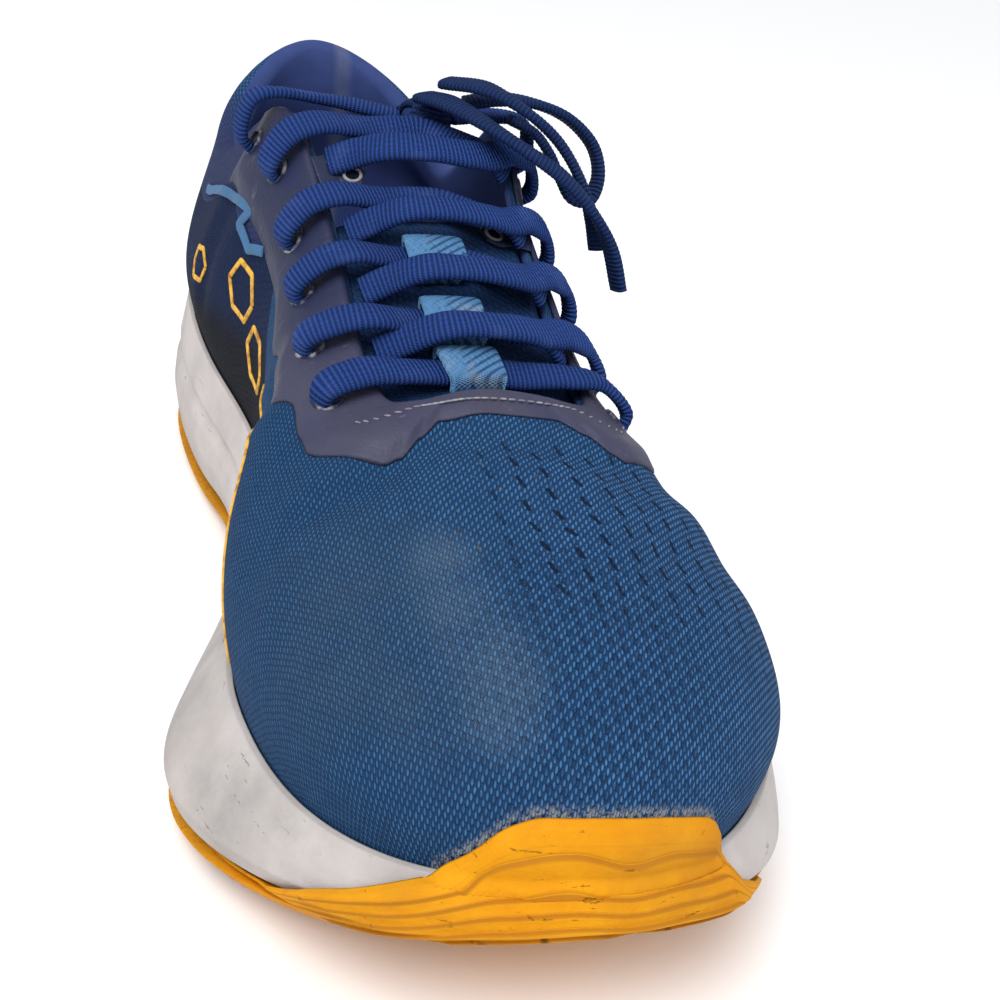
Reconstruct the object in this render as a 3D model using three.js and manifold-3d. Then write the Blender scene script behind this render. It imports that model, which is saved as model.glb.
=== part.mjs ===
// A worn running shoe for the left foot, as an assembly of the pieces it is made from.
// Millimetres, +Z up, the toe towards -Y and the outer side of the foot towards +X.
// The origin is on the ground, under the middle of the shoe's length and width.

import * as THREE from 'three';
import Module from 'manifold-3d';
import { mergeVertices } from 'three/addons/utils/BufferGeometryUtils.js';

const wasm = await Module();
wasm.setup();

// Overall sizes of the last and the sole
const LENGTH = 289;
const BALL_WIDTH = 115.5;
const RIM_HEIGHT = 43;
const COLLAR_HEIGHT = 110;
const HALF_LENGTH = LENGTH / 2;
const HALF_WIDTH = BALL_WIDTH / 2;

// The sole against the ground
const TOE_SPRING = 22;
const HEEL_BEVEL = 7;
const WAIST_RISE = 3.5;
const TOE_BREAK = -0.42;
const HEEL_BREAK = 0.68;
const WAIST_FRONT = -0.12;
const WAIST_BACK = 0.36;

// Thicknesses and clearances
const GAP = 0.3;
const OUTSOLE_THICKNESS = 3.5;
const SOLE_EDGE_INSET = 5;
const BUMPER_THICKNESS = 2.4;
const RIB_HEIGHT = 0.7;
const SIDE_GROOVE = 1.3;
const GROOVE_FRONT = -0.3;
const GROOVE_FULL = 0.15;
const LIP = 1.5;
const LIP_DEPTH = 6;
const BUMPER_GAP = 0.75;

// Edges shorter than this are merged after cutting
const SLIVER = 0.02;
const FOOTBED_DISH = 3;
const FOOTBED_EDGE = 14;
const TREAD_EDGE = 14;
const INSOLE_THICKNESS = 4.5;
const UPPER_WALL = 2.4;
const COLLAR_PADDING = 6;
const EYESTAY_THICKNESS = 1.2;
const FILM_LIFT = 0.5;
const TONGUE_THICKNESS = 5;
const TONGUE_EDGE = 2.2;
const TONGUE_CLEARANCE = 0.4;

// The throat and what fastens it
const HALF_THROAT = 22;
const THROAT_CROWN = 4;
const EYELET_DIAMETER = 5;
const EYELET_INSET = 10;
const EYELET_CUT = 14;
const LACE_WIDTH = 7.5;
const LACE_THICKNESS = 2.6;
const LACE_REST = 0.6;
const KEEPER_WIDTH = 12;
const KEEPER_THICKNESS = 1.2;

// Tread grooves
const GROOVE_WIDTH = 3.6;
const GROOVE_DEPTH = 2;
const NOTCH_WIDTH = 2.6;

// Facets round the shoe
const SEGMENTS = 52;

const OUTSOLE = new THREE.MeshStandardMaterial({ color: 0xf0a018, roughness: 0.7, metalness: 0 });
const MIDSOLE = new THREE.MeshStandardMaterial({ color: 0xd9d7d6, roughness: 0.75, metalness: 0 });
const KNIT = new THREE.MeshStandardMaterial({ color: 0x2a5588, roughness: 0.9, metalness: 0 });
const FILM = new THREE.MeshStandardMaterial({ color: 0x464664, roughness: 0.55, metalness: 0 });
const LINING = new THREE.MeshStandardMaterial({ color: 0x24345e, roughness: 0.9, metalness: 0 });
const FOAM = new THREE.MeshStandardMaterial({ color: 0x2c3c66, roughness: 0.9, metalness: 0 });
const CORD = new THREE.MeshStandardMaterial({ color: 0x324b96, roughness: 0.85, metalness: 0 });
const WEBBING = new THREE.MeshStandardMaterial({ color: 0x6496be, roughness: 0.8, metalness: 0 });

// Stations round the shoe, from the toe by the outer side, the heel and the inner side:
// [outline x, y], [rim x, y, z], [top edge x, y, z], [lean, rise, reach, drop].
// x, lean and reach are shares of HALF_WIDTH, y of HALF_LENGTH, rim z of RIM_HEIGHT,
// and top z, rise and drop of COLLAR_HEIGHT.
const STATIONS = [
  [[0.022, -0.985], [0.022, -0.955, 0.72], [0.056, -0.378, 0.685], [0.05, 0.2, 0.84, 0.1]],
  [[0.425, -0.967], [0.394, -0.925, 0.68], [0.229, -0.38, 0.672], [0.09, 0.2, 0.72, 0.09]],
  [[0.74, -0.862], [0.71, -0.81, 0.62], [0.362, -0.372, 0.65], [0.17, 0.19, 0.46, 0.08]],
  [[0.945, -0.682], [0.885, -0.66, 0.6], [0.458, -0.338, 0.638], [0.13, 0.12, 0.2, 0.05]],
  [[1, -0.467], [0.885, -0.46, 0.61], [0.474, -0.253, 0.674], [-0.02, 0.08, 0.07, 0.04]],
  [[0.93, -0.204], [0.79, -0.218, 0.67], [0.482, -0.107, 0.764], [-0.07, 0.09, 0.04, 0.06]],
  [[0.86, 0.073], [0.74, 0.052, 0.79], [0.484, 0.059, 0.873], [-0.04, 0.15, 0.07, 0.1]],
  [[0.835, 0.336], [0.732, 0.322, 0.91], [0.53, 0.253, 0.982], [0.02, 0.18, 0.1, 0.18]],
  [[0.835, 0.612], [0.749, 0.599, 0.98], [0.662, 0.557, 0.8], [0.09, 0.15, 0.03, 0.13]],
  [[0.662, 0.869], [0.593, 0.827, 1], [0.541, 0.82, 0.9], [0.12, 0.16, -0.02, 0.15]],
  [[0.056, 1], [0.056, 0.952, 1], [0.056, 0.965, 1], [0.16, 0.24, -0.14, 0.22]],
  [[-0.55, 0.875], [-0.481, 0.834, 1], [-0.4, 0.83, 0.9], [0.14, 0.16, 0, 0.15]],
  [[-0.723, 0.626], [-0.636, 0.612, 0.98], [-0.52, 0.557, 0.818], [0.12, 0.15, 0.05, 0.13]],
  [[-0.688, 0.349], [-0.602, 0.336, 0.91], [-0.394, 0.253, 0.991], [0.12, 0.22, 0.21, 0.2]],
  [[-0.619, 0.073], [-0.515, 0.059, 0.84], [-0.307, 0.059, 0.891], [0.07, 0.22, 0.21, 0.11]],
  [[-0.72, -0.204], [-0.584, -0.218, 0.72], [-0.29, -0.114, 0.782], [0.09, 0.22, 0.28, 0.09]],
  [[-0.94, -0.42], [-0.758, -0.446, 0.65], [-0.29, -0.26, 0.7], [0.1, 0.2, 0.42, 0.07]],
  [[-1, -0.6], [-0.775, -0.615, 0.64], [-0.25, -0.35, 0.655], [0.09, 0.2, 0.55, 0.08]],
  [[-0.8, -0.785], [-0.67, -0.782, 0.67], [-0.175, -0.38, 0.662], [0.07, 0.21, 0.68, 0.09]],
  [[-0.45, -0.928], [-0.385, -0.9, 0.68], [-0.075, -0.38, 0.675], [0.05, 0.21, 0.78, 0.1]],
];

// Where the eyelet pairs sit along the shoe, as shares of HALF_LENGTH
const EYELET_ROWS = [-0.315, -0.225, -0.1, 0.02, 0.14, 0.25];

// A smooth closed loop through every row: a uniform cubic B-spline whose control rows are
// moved until the curve passes through the given ones.
function smoothLoop(rows) {
  const count = rows.length;
  let control = rows.map((row) => [...row]);
  for (let round = 0; round < 60; round += 1) {
    control = control.map((row, i) => {
      const before = control[(i + count - 1) % count];
      const after = control[(i + 1) % count];
      return row.map((value, k) => value + 1.2 * (rows[i][k] - (before[k] + 4 * value + after[k]) / 6));
    });
  }
  return (place) => {
    const along = (((place % 1) + 1) % 1) * count;
    const index = Math.floor(along) % count;
    const u = along - Math.floor(along);
    const weights = [
      (1 - u) ** 3 / 6,
      (3 * u ** 3 - 6 * u ** 2 + 4) / 6,
      (-3 * u ** 3 + 3 * u ** 2 + 3 * u + 1) / 6,
      u ** 3 / 6,
    ];
    const near = weights.map((_, k) => control[(index + count - 1 + k) % count]);
    return near[0].map((_, k) => weights.reduce((sum, weight, j) => sum + weight * near[j][k], 0));
  };
}

const outlineLoop = smoothLoop(STATIONS.map(([sole]) => [sole[0] * HALF_WIDTH, sole[1] * HALF_LENGTH]));
const rimLoop = smoothLoop(STATIONS.map(([, rim]) => (
  [rim[0] * HALF_WIDTH, rim[1] * HALF_LENGTH, rim[2] * RIM_HEIGHT])));
const topLoop = smoothLoop(STATIONS.map(([, , top]) => (
  [top[0] * HALF_WIDTH, top[1] * HALF_LENGTH, top[2] * COLLAR_HEIGHT])));
const fullnessLoop = smoothLoop(STATIONS.map(([, , , full]) => (
  [full[0] * HALF_WIDTH, full[1] * COLLAR_HEIGHT, full[2] * HALF_WIDTH, full[3] * COLLAR_HEIGHT])));

const UP = new THREE.Vector3(0, 0, 1);
const rimPoint = (s) => new THREE.Vector3(...rimLoop(s));
const topPoint = (s) => new THREE.Vector3(...topLoop(s));
const clamp = (value, low, high) => Math.min(Math.max(value, low), high);
const smooth = (low, high, value) => {
  const u = clamp((value - low) / (high - low), 0, 1);
  return u * u * (3 - 2 * u);
};

// The level outward direction at a place on the rim
function outward(s) {
  const step = 0.0005;
  const along = rimPoint(s + step).sub(rimPoint(s - step));
  return new THREE.Vector3(along.y, -along.x, 0).normalize();
}

// Outer surface of the upper: t runs from the rim (0) to the top edge (1)
function upperPoint(s, t) {
  const [lean, rise, reach, drop] = fullnessLoop(s);
  const out = outward(s);
  const low = rimPoint(s);
  const high = topPoint(s);
  const lowPull = low.clone().addScaledVector(out, lean).addScaledVector(UP, rise);
  const highPull = high.clone().addScaledVector(out, reach).addScaledVector(UP, -drop);
  return new THREE.CubicBezierCurve3(low, lowPull, highPull, high).getPoint(t);
}

function upperNormal(s, t) {
  const step = 0.002;
  const round = upperPoint(s + step, t).sub(upperPoint(s - step, t));
  const rise = upperPoint(s, Math.min(t + step, 1)).sub(upperPoint(s, Math.max(t - step, 0)));
  return round.cross(rise).normalize();
}

// How far down from the top edge a length along the upper's surface reaches, as a t
function insetFromTop(s, length) {
  const steps = 60;
  let travelled = 0;
  let last = upperPoint(s, 1);
  for (let i = 1; i <= steps; i += 1) {
    const t = 1 - i / steps;
    const next = upperPoint(s, t);
    const step = next.distanceTo(last);
    if (travelled + step >= length) {
      return t + (1 - (length - travelled) / step) / steps;
    }
    travelled += step;
    last = next;
  }
  return 0;
}

// Height of the tread over the ground along the shoe
function treadHeight(y) {
  const share = y / HALF_LENGTH;
  const toe = Math.max(0, (TOE_BREAK - share) / (TOE_BREAK + 1)) ** 2 * TOE_SPRING;
  const heel = Math.max(0, (share - HEEL_BREAK) / (1 - HEEL_BREAK)) ** 2 * HEEL_BEVEL;
  const across = clamp((share - WAIST_FRONT) / (WAIST_BACK - WAIST_FRONT), 0, 1);
  return toe + heel + WAIST_RISE * Math.sin(Math.PI * across) ** 2;
}

// A point on the outline, moved level by a distance outwards (or inwards when negative)
function outlinePoint(s, offset) {
  const [x, y] = outlineLoop(s);
  const point = new THREE.Vector3(x, y, 0).addScaledVector(outward(s), offset);
  return point;
}

// Rows of the midsole's side, from its bottom edge to its lip:
// [share of the side's height, share of the way from outline to rim, inset in shares of
// SOLE_EDGE_INSET, inset in shares of SIDE_GROOVE]
const SIDE_ROWS = [
  [0, 0, 1, 0],
  [0.13, 0, 0.22, 0],
  [0.34, 0, 0, 0],
  [0.52, 0.17, 0, 0],
  [0.57, 0.24, 0, 1],
  [0.63, 0.33, 0, 1],
  [0.68, 0.4, 0, 0],
  [0.85, 0.72, 0, 0],
  [1, 1, 0, 0],
];

// The side of the midsole at a share of its height, with the groove or without it: the groove
// fades out towards the forefoot
function sidePoint(s, height, groove = 1) {
  const last = SIDE_ROWS.length - 1;
  let row = 0;
  while (row < last - 1 && SIDE_ROWS[row + 1][0] < height) {
    row += 1;
  }
  const low = SIDE_ROWS[row];
  const high = SIDE_ROWS[row + 1];
  const u = (height - low[0]) / (high[0] - low[0]);
  const [, way, edge, cut] = low.map((value, k) => value + u * (high[k] - value));
  const start = outlinePoint(s, -edge * SOLE_EDGE_INSET);
  const end = rimPoint(s).addScaledVector(outward(s), LIP);
  const bottom = treadHeight(start.y) + OUTSOLE_THICKNESS + GAP;
  const grooved = groove * smooth(GROOVE_FRONT, GROOVE_FULL, start.y / HALF_LENGTH);
  const point = start.clone().lerp(end, way).addScaledVector(outward(s), -cut * grooved * SIDE_GROOVE);
  point.z = bottom + height * (end.z - bottom);
  return point;
}

// Turns triangles of points into a merged solid whose faces point out
function solidFrom(triangles) {
  const positions = new Float32Array(triangles.flat().flatMap((point) => [point.x, point.y, point.z]));
  const loose = new THREE.BufferGeometry();
  loose.setAttribute('position', new THREE.BufferAttribute(positions, 3));
  return solidOf(loose);
}

function solidOf(geometry) {
  const bare = geometry.clone();
  bare.deleteAttribute('normal');
  bare.deleteAttribute('uv');
  const merged = mergeVertices(bare, 1e-4);
  const corner = (k) => new THREE.Vector3().fromBufferAttribute(merged.attributes.position, k);
  let volume = 0;
  const kept = [];
  for (let i = 0; i < merged.index.count; i += 3) {
    const [a, b, c] = [0, 1, 2].map((k) => merged.index.getX(i + k));
    if (a !== b && b !== c && a !== c) {
      kept.push([a, b, c]);
      volume += corner(a).dot(corner(b).cross(corner(c)));
    }
  }
  const outwards = volume > 0 ? kept : kept.map(([a, b, c]) => [a, c, b]);
  const mesh = new wasm.Mesh({
    numProp: 3,
    vertProperties: new Float32Array(merged.attributes.position.array),
    triVerts: new Uint32Array(outwards.flat()),
  });
  return new wasm.Manifold(mesh);
}

function geometryOf(solid) {
  const { vertProperties, triVerts } = solid.getMesh();
  const geometry = new THREE.BufferGeometry();
  geometry.setAttribute('position', new THREE.BufferAttribute(vertProperties, 3));
  geometry.setIndex(new THREE.BufferAttribute(triVerts, 1));
  geometry.computeVertexNormals();
  return geometry;
}

const quad = (a, b, c, d) => [[a, b, c], [a, c, d]];

// Closed rings of equal length, one after another, with a ladder of faces across each end
function stackedRings(rings) {
  const count = rings[0].length;
  const faces = [];
  for (let i = 0; i + 1 < rings.length; i += 1) {
    for (let k = 0; k < count; k += 1) {
      const next = (k + 1) % count;
      faces.push(...quad(rings[i][k], rings[i][next], rings[i + 1][next], rings[i + 1][k]));
    }
  }
  const ladder = (ring, turned) => {
    for (let k = 0; k < count / 2; k += 1) {
      const corners = [ring[k], ring[(count - k) % count], ring[count - k - 1], ring[k + 1]];
      faces.push(...quad(...(turned ? corners.reverse() : corners)));
    }
  };
  ladder(rings[0], false);
  ladder(rings[rings.length - 1], true);
  return solidFrom(faces);
}

// Closed rings joined one after another, the last to the first, as a hollow band
function hollowBand(rings) {
  const count = rings[0].length;
  const faces = [];
  rings.forEach((ring, i) => {
    const above = rings[(i + 1) % rings.length];
    for (let k = 0; k < count; k += 1) {
      const next = (k + 1) % count;
      faces.push(...quad(ring[k], ring[next], above[next], above[k]));
    }
  });
  return solidFrom(faces);
}

// A thick patch between two grids of points of the same size
function patch(outer, inner) {
  const rows = outer.length;
  const columns = outer[0].length;
  const faces = [];
  for (let i = 0; i + 1 < rows; i += 1) {
    for (let k = 0; k + 1 < columns; k += 1) {
      faces.push(...quad(outer[i][k], outer[i][k + 1], outer[i + 1][k + 1], outer[i + 1][k]));
      faces.push(...quad(inner[i][k], inner[i + 1][k], inner[i + 1][k + 1], inner[i][k + 1]));
    }
  }
  const edge = [];
  for (let k = 0; k < columns - 1; k += 1) edge.push([0, k]);
  for (let i = 0; i < rows - 1; i += 1) edge.push([i, columns - 1]);
  for (let k = columns - 1; k > 0; k -= 1) edge.push([rows - 1, k]);
  for (let i = rows - 1; i > 0; i -= 1) edge.push([i, 0]);
  edge.forEach(([i, k], n) => {
    const [j, m] = edge[(n + 1) % edge.length];
    faces.push(...quad(outer[i][k], inner[i][k], inner[j][m], outer[j][m]));
  });
  return solidFrom(faces);
}

// A flat band along points, each [place, facing], with chamfered edges
function flatBand(stops, width, thickness) {
  const bevel = thickness * 0.35;
  const half = [width / 2, thickness / 2];
  const section = [
    [half[0], 0], [half[0] - bevel, half[1]], [bevel - half[0], half[1]],
    [-half[0], 0], [bevel - half[0], -half[1]], [half[0] - bevel, -half[1]],
  ];
  const rings = stops.map(([place, facing], i) => {
    const before = stops[Math.max(i - 1, 0)][0];
    const after = stops[Math.min(i + 1, stops.length - 1)][0];
    const along = after.clone().sub(before).normalize();
    const side = along.clone().cross(facing).normalize();
    const top = side.clone().cross(along).normalize();
    return section.map(([x, z]) => place.clone().addScaledVector(side, x).addScaledVector(top, z));
  });
  return stackedRings(rings);
}

const places = Array.from({ length: SEGMENTS }, (_, k) => k / SEGMENTS);
const ringOf = (pointAt) => places.map(pointAt);
const steps = (count) => Array.from({ length: count + 1 }, (_, k) => k / count);
const along = (low, high, count) => steps(count).map((u) => low + u * (high - low));

// Midsole: the foam body, with a dished footbed inside its lip
function midsole() {
  const rings = SIDE_ROWS.map(([height]) => ringOf((s) => sidePoint(s, height)));
  const seat = (s, inset, depth) => rimPoint(s).addScaledVector(outward(s), -inset).addScaledVector(UP, -depth);
  rings.push(ringOf((s) => seat(s, -GAP, 0)));
  rings.push(ringOf((s) => seat(s, -GAP, LIP_DEPTH + GAP)));
  rings.push(ringOf((s) => seat(s, UPPER_WALL + 1, LIP_DEPTH + GAP)));
  rings.push(ringOf((s) => seat(s, FOOTBED_EDGE, LIP_DEPTH + GAP + FOOTBED_DISH)));
  return stackedRings(rings);
}

// Top of the toe bumper along the rim, in shares of the midsole's side: over 1 it lies on the upper
const BUMPER_TOPS = [
  [-0.14, 0.05], [-0.12, 0.06], [-0.1, 0.1], [-0.09, 0.22], [-0.08, 0.44],
  [-0.07, 0.6], [-0.06, 0.82], [-0.05, 1.04], [-0.04, 1.22], [-0.03, 1.46],
  [-0.02, 1.56], [0, 1.55], [0.02, 1.51], [0.032, 1.46], [0.042, 1.37],
  [0.049, 1.2], [0.055, 0.55], [0.06, 0.36], [0.07, 0.16], [0.09, 0.08],
];
const BUMPER_ROWS = [-0.08, 0.06, 0.13, 0.34, 0.52, 0.68, 0.85, 1, 1.12, 1.24, 1.37, 2];
const BUMPER_RIBS = [0, 0, 0, 1, 0, 1, 0, 1, 0, 1, 0, 0];
const LEAST_ROW = 0.012;

// The surface that the bumper wraps: the midsole's side, then the upper above the rim
function carcassPoint(s, height) {
  if (height <= 1) {
    return [sidePoint(s, height, 0), outward(s)];
  }
  const t = (height - 1) * 0.3;
  const normal = upperNormal(s, t);
  const step = LIP * (1 - smooth(1, 1.12, height));
  return [upperPoint(s, t).addScaledVector(normal, step), normal];
}

function tableAt(table, place) {
  const index = clamp(table.findIndex(([s]) => s > place) - 1, 0, table.length - 2);
  const [low, high] = [table[index], table[index + 1]];
  return low[1] + (place - low[0]) / (high[0] - low[0]) * (high[1] - low[1]);
}

function bumper() {
  const outer = [];
  const inner = [];
  const columns = along(-7, 4, 20).map((count) => count / SEGMENTS);
  columns.forEach((s) => {
    const top = tableAt(BUMPER_TOPS, s);
    const last = BUMPER_ROWS.length - 1;
    const rows = BUMPER_ROWS.map((height, k) => Math.min(height, top - LEAST_ROW * (last - k)));
    const wall = rows.map((height) => carcassPoint(s, height));
    const fade = smooth(0.1, 0.9, top);
    inner.push(wall.map(([point, normal]) => point.clone().addScaledVector(normal, BUMPER_GAP)));
    outer.push(wall.map(([point, normal], k) => {
      const share = k / last;
      const thickness = BUMPER_THICKNESS * (1 - 0.55 * share ** 3) * (0.55 + 0.45 * fade);
      return point.clone().addScaledVector(normal, BUMPER_GAP + thickness + RIB_HEIGHT * BUMPER_RIBS[k] * fade);
    }));
  });
  return patch(outer, inner);
}

// Outsole: the tread, the bumper that wraps the toe, and the grooves cut into them
function outsole() {
  const level = (s, offset, rise) => {
    const point = outlinePoint(s, offset);
    point.z = treadHeight(point.y) + rise;
    return point;
  };
  const tread = stackedRings([
    ringOf((s) => level(s, -TREAD_EDGE, 0)),
    ringOf((s) => level(s, -SOLE_EDGE_INSET, 0)),
    ringOf((s) => level(s, -0.5 * SOLE_EDGE_INSET, 0.3 * OUTSOLE_THICKNESS)),
    ringOf((s) => level(s, -0.2 * SOLE_EDGE_INSET, OUTSOLE_THICKNESS)),
    ringOf((s) => level(s, -SOLE_EDGE_INSET, OUTSOLE_THICKNESS)),
    ringOf((s) => level(s, -TREAD_EDGE, OUTSOLE_THICKNESS)),
  ]);
  let solid = tread.add(bumper());
  treadGrooves().forEach((cutter) => {
    solid = solid.subtract(cutter);
  });
  return solid.simplify(SLIVER);
}

// Straight grooves across the tread, one down its middle, and notches round the toe
const CROSS_GROOVES = [-0.66, -0.5, -0.34, 0.5, 0.66, 0.82];
const TOE_NOTCHES = [-0.05, -0.015, 0.02, 0.055];

function box(x, y, z) {
  return new THREE.BoxGeometry(x, y, z);
}

function treadGrooves() {
  const cutters = CROSS_GROOVES.map((share) => {
    const y = share * HALF_LENGTH;
    const top = treadHeight(y) + GROOVE_DEPTH;
    const slot = box(BALL_WIDTH * 1.2, GROOVE_WIDTH, 2 * OUTSOLE_THICKNESS + GROOVE_DEPTH);
    return solidOf(slot.translate(0, y, top - OUTSOLE_THICKNESS - GROOVE_DEPTH / 2));
  });
  const middle = along(-0.7, 0.86, 26).map((share) => {
    const y = share * HALF_LENGTH;
    const place = new THREE.Vector3(0.04 * HALF_WIDTH, y, treadHeight(y) + GROOVE_DEPTH - OUTSOLE_THICKNESS);
    return [place, UP];
  });
  cutters.push(flatBand(middle, 1.4 * GROOVE_WIDTH, 2 * OUTSOLE_THICKNESS));
  TOE_NOTCHES.forEach((s) => {
    const out = outward(s);
    const point = outlinePoint(s, -SOLE_EDGE_INSET);
    const slot = box(4 * SOLE_EDGE_INSET, NOTCH_WIDTH, 2 * OUTSOLE_THICKNESS);
    slot.rotateZ(Math.atan2(out.y, out.x));
    const rise = treadHeight(point.y) + GROOVE_DEPTH - OUTSOLE_THICKNESS;
    cutters.push(solidOf(slot.translate(point.x, point.y, rise)));
  });
  return cutters;
}

// Insole: a dished foam sheet on the footbed
function insole() {
  const reach = UPPER_WALL + 0.6;
  const lift = GAP - LIP_DEPTH;
  const layer = (s, inset, depth) => (
    rimPoint(s).addScaledVector(outward(s), -inset).addScaledVector(UP, lift - depth));
  return stackedRings([
    ringOf((s) => layer(s, FOOTBED_EDGE + GAP, FOOTBED_DISH)),
    ringOf((s) => layer(s, reach + 1.5, 0)),
    ringOf((s) => layer(s, reach, -1.5)),
    ringOf((s) => layer(s, reach, -INSOLE_THICKNESS)),
    ringOf((s) => layer(s, FOOTBED_EDGE + GAP, FOOTBED_DISH - INSOLE_THICKNESS)),
  ]);
}

// Wall of the upper: thicker where the collar is padded
function wallThickness(s, t) {
  const back = 1 - Math.abs(2 * (((s % 1) + 1) % 1) - 1);
  return UPPER_WALL + COLLAR_PADDING * smooth(0.7, 0.8, back) * smooth(0.45, 0.85, t);
}

// The upper's hollow form, from these rows between the rim and the top edge
const OUTER_ROWS = [0, 0.06, 0.14, 0.25, 0.37, 0.49, 0.61, 0.73, 0.84, 0.93, 1];
const INNER_ROWS = [0, 0.18, 0.38, 0.56, 0.7, 0.84, 1];

function upperForm() {
  const under = (s, inset) => (
    rimPoint(s).addScaledVector(outward(s), -inset).addScaledVector(UP, -LIP_DEPTH));
  const skin = (s, t, depth) => upperPoint(s, t).addScaledVector(upperNormal(s, t), -depth);
  const rings = [ringOf((s) => under(s, 0))];
  OUTER_ROWS.forEach((t) => rings.push(ringOf((s) => skin(s, t, 0))));
  [...INNER_ROWS].reverse().forEach((t) => (
    rings.push(ringOf((s) => skin(s, t, wallThickness(s, t))))));
  rings.push(ringOf((s) => under(s, UPPER_WALL)));
  return hollowBand(rings);
}

const upper = () => upperForm().subtract(eyeletCutters());

// The place on the loop where the throat's two edges are, on average, this far along the shoe
function throatStation(y) {
  let [low, high] = [0.12, 0.37];
  for (let round = 0; round < 30; round += 1) {
    const middle = (low + high) / 2;
    if ((topPoint(middle).y + topPoint(1 - middle).y) / 2 < y) {
      low = middle;
    } else {
      high = middle;
    }
  }
  return low;
}

// Where a row of eyelets is: 0 at the front pair, 5 at the top pair, and shares between
function rowDistance(row) {
  const index = clamp(Math.floor(row), 0, EYELET_ROWS.length - 2);
  const low = EYELET_ROWS[index];
  return (low + (row - index) * (EYELET_ROWS[index + 1] - low)) * HALF_LENGTH;
}

const rowPlace = (row) => throatStation(rowDistance(row));

// Eyelets, in pairs on both sides of the throat
const sides = [1, -1];
const onSide = (side, s) => (side > 0 ? s : 1 - s);

function eyeletCutters() {
  let joined = null;
  sides.forEach((side) => EYELET_ROWS.forEach((_, row) => {
    const s = onSide(side, rowPlace(row));
    const t = insetFromTop(s, EYELET_INSET);
    const hole = new THREE.CylinderGeometry(EYELET_DIAMETER / 2, EYELET_DIAMETER / 2, EYELET_CUT, 6);
    const turn = new THREE.Quaternion().setFromUnitVectors(new THREE.Vector3(0, 1, 0), upperNormal(s, t));
    hole.applyQuaternion(turn).translate(...upperPoint(s, t).toArray());
    joined = joined ? joined.add(solidOf(hole)) : solidOf(hole);
  }));
  return joined;
}

// Width of the eyestay's film along the throat: a lobe by each eyelet pair, narrow at the crest
const FILM_WIDTHS = [
  [0, 8], [0.05, 8.5], [0.075, 10], [0.1, 14], [0.135, 19], [0.16, 23], [0.185, 19], [0.21, 24], [0.235, 20],
  [0.26, 25], [0.285, 22], [0.31, 27], [0.335, 24], [0.36, 20],
];

function eyestay() {
  const stops = [...FILM_WIDTHS.slice(1).reverse().map(([s, width]) => [-s, width]), ...FILM_WIDTHS];
  const fine = [];
  stops.forEach(([s, width], k) => {
    fine.push([s, width]);
    if (k + 1 < stops.length) {
      fine.push([(s + stops[k + 1][0]) / 2, (width + stops[k + 1][1]) / 2]);
    }
  });
  const depths = [0, 0.3, 0.62, 1];
  const layer = (lift) => fine.map(([s, width]) => depths.map((share) => {
    const t = insetFromTop(s, share * width);
    return upperPoint(s, t).addScaledVector(upperNormal(s, t), lift);
  }));
  return patch(layer(FILM_LIFT + EYESTAY_THICKNESS), layer(FILM_LIFT)).subtract(eyeletCutters());
}

// A place over the throat: across runs from -1 at its inner edge to 1 at its outer edge, and
// past them over the eyestay. The lift is measured from the eyestay's outer surface.
function throatPlace(across, s, lift) {
  const film = FILM_LIFT + EYESTAY_THICKNESS;
  if (Math.abs(across) > 1) {
    const place = onSide(across, s);
    const t = insetFromTop(place, (Math.abs(across) - 1) * HALF_THROAT);
    const normal = upperNormal(place, t);
    return [upperPoint(place, t).addScaledVector(normal, film + lift), normal];
  }
  const step = 0.002;
  const [point, normal] = throatBase(across, s);
  const back = throatBase(across, s + step)[0].sub(throatBase(across, s - step)[0]);
  const over = throatBase(across + step, s)[0].sub(throatBase(across - step, s)[0]);
  return [point.addScaledVector(normal, lift), over.cross(back).normalize()];
}

function throatBase(across, s) {
  const film = FILM_LIFT + EYESTAY_THICKNESS;
  const [outer, inner] = sides.map((side) => onSide(side, s));
  const outerNormal = upperNormal(outer, 1);
  const innerNormal = upperNormal(inner, 1);
  const share = (across + 1) / 2;
  const point = topPoint(inner).addScaledVector(innerNormal, film);
  point.lerp(topPoint(outer).addScaledVector(outerNormal, film), share);
  const normal = innerNormal.lerp(outerNormal, share).normalize();
  return [point.addScaledVector(UP, THROAT_CROWN * (1 - across ** 2)), normal];
}

const TONGUE_DEPTH = FILM_LIFT + EYESTAY_THICKNESS + UPPER_WALL + TONGUE_CLEARANCE;
const LACE_LOW = LACE_REST + LACE_THICKNESS / 2 - TONGUE_DEPTH;
const LACE_OVER = 2 * LACE_REST + LACE_THICKNESS / 2;

// Tongue: padded, tucked under both edges of the throat and under its front
function tongue() {
  const columns = [-1.45, -1, -0.7, -0.35, 0, 0.35, 0.7, 1, 1.45];
  const rows = along(0.126, 0.285, 9);
  const depthAt = (across) => TONGUE_EDGE + (TONGUE_THICKNESS - TONGUE_EDGE) * (1 - smooth(0.7, 1.4, Math.abs(across)));
  const layer = (below) => {
    const grid = rows.map((s) => columns.map((across) => {
      const thickness = below ? depthAt(across) : 0;
      return throatPlace(across, s, -TONGUE_DEPTH - thickness)[0];
    }));
    const tuck = new THREE.Vector3(0, -0.055 * HALF_LENGTH, -0.035 * COLLAR_HEIGHT);
    return [grid[0].map((point) => point.clone().add(tuck)), ...grid];
  };
  return patch(layer(false), layer(true));
}

// Keepers: webbing bridges on the tongue, over the laces
const KEEPER_ROWS = [0.02, 1.03, 2.03];
const KEEPER_MIDDLE = -0.12;
const KEEPER_ROOM = 0.6;
const KEEPER_SHAPE = [[-1, 0], [-1, 1], [1, 1], [1, 0]];

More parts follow.
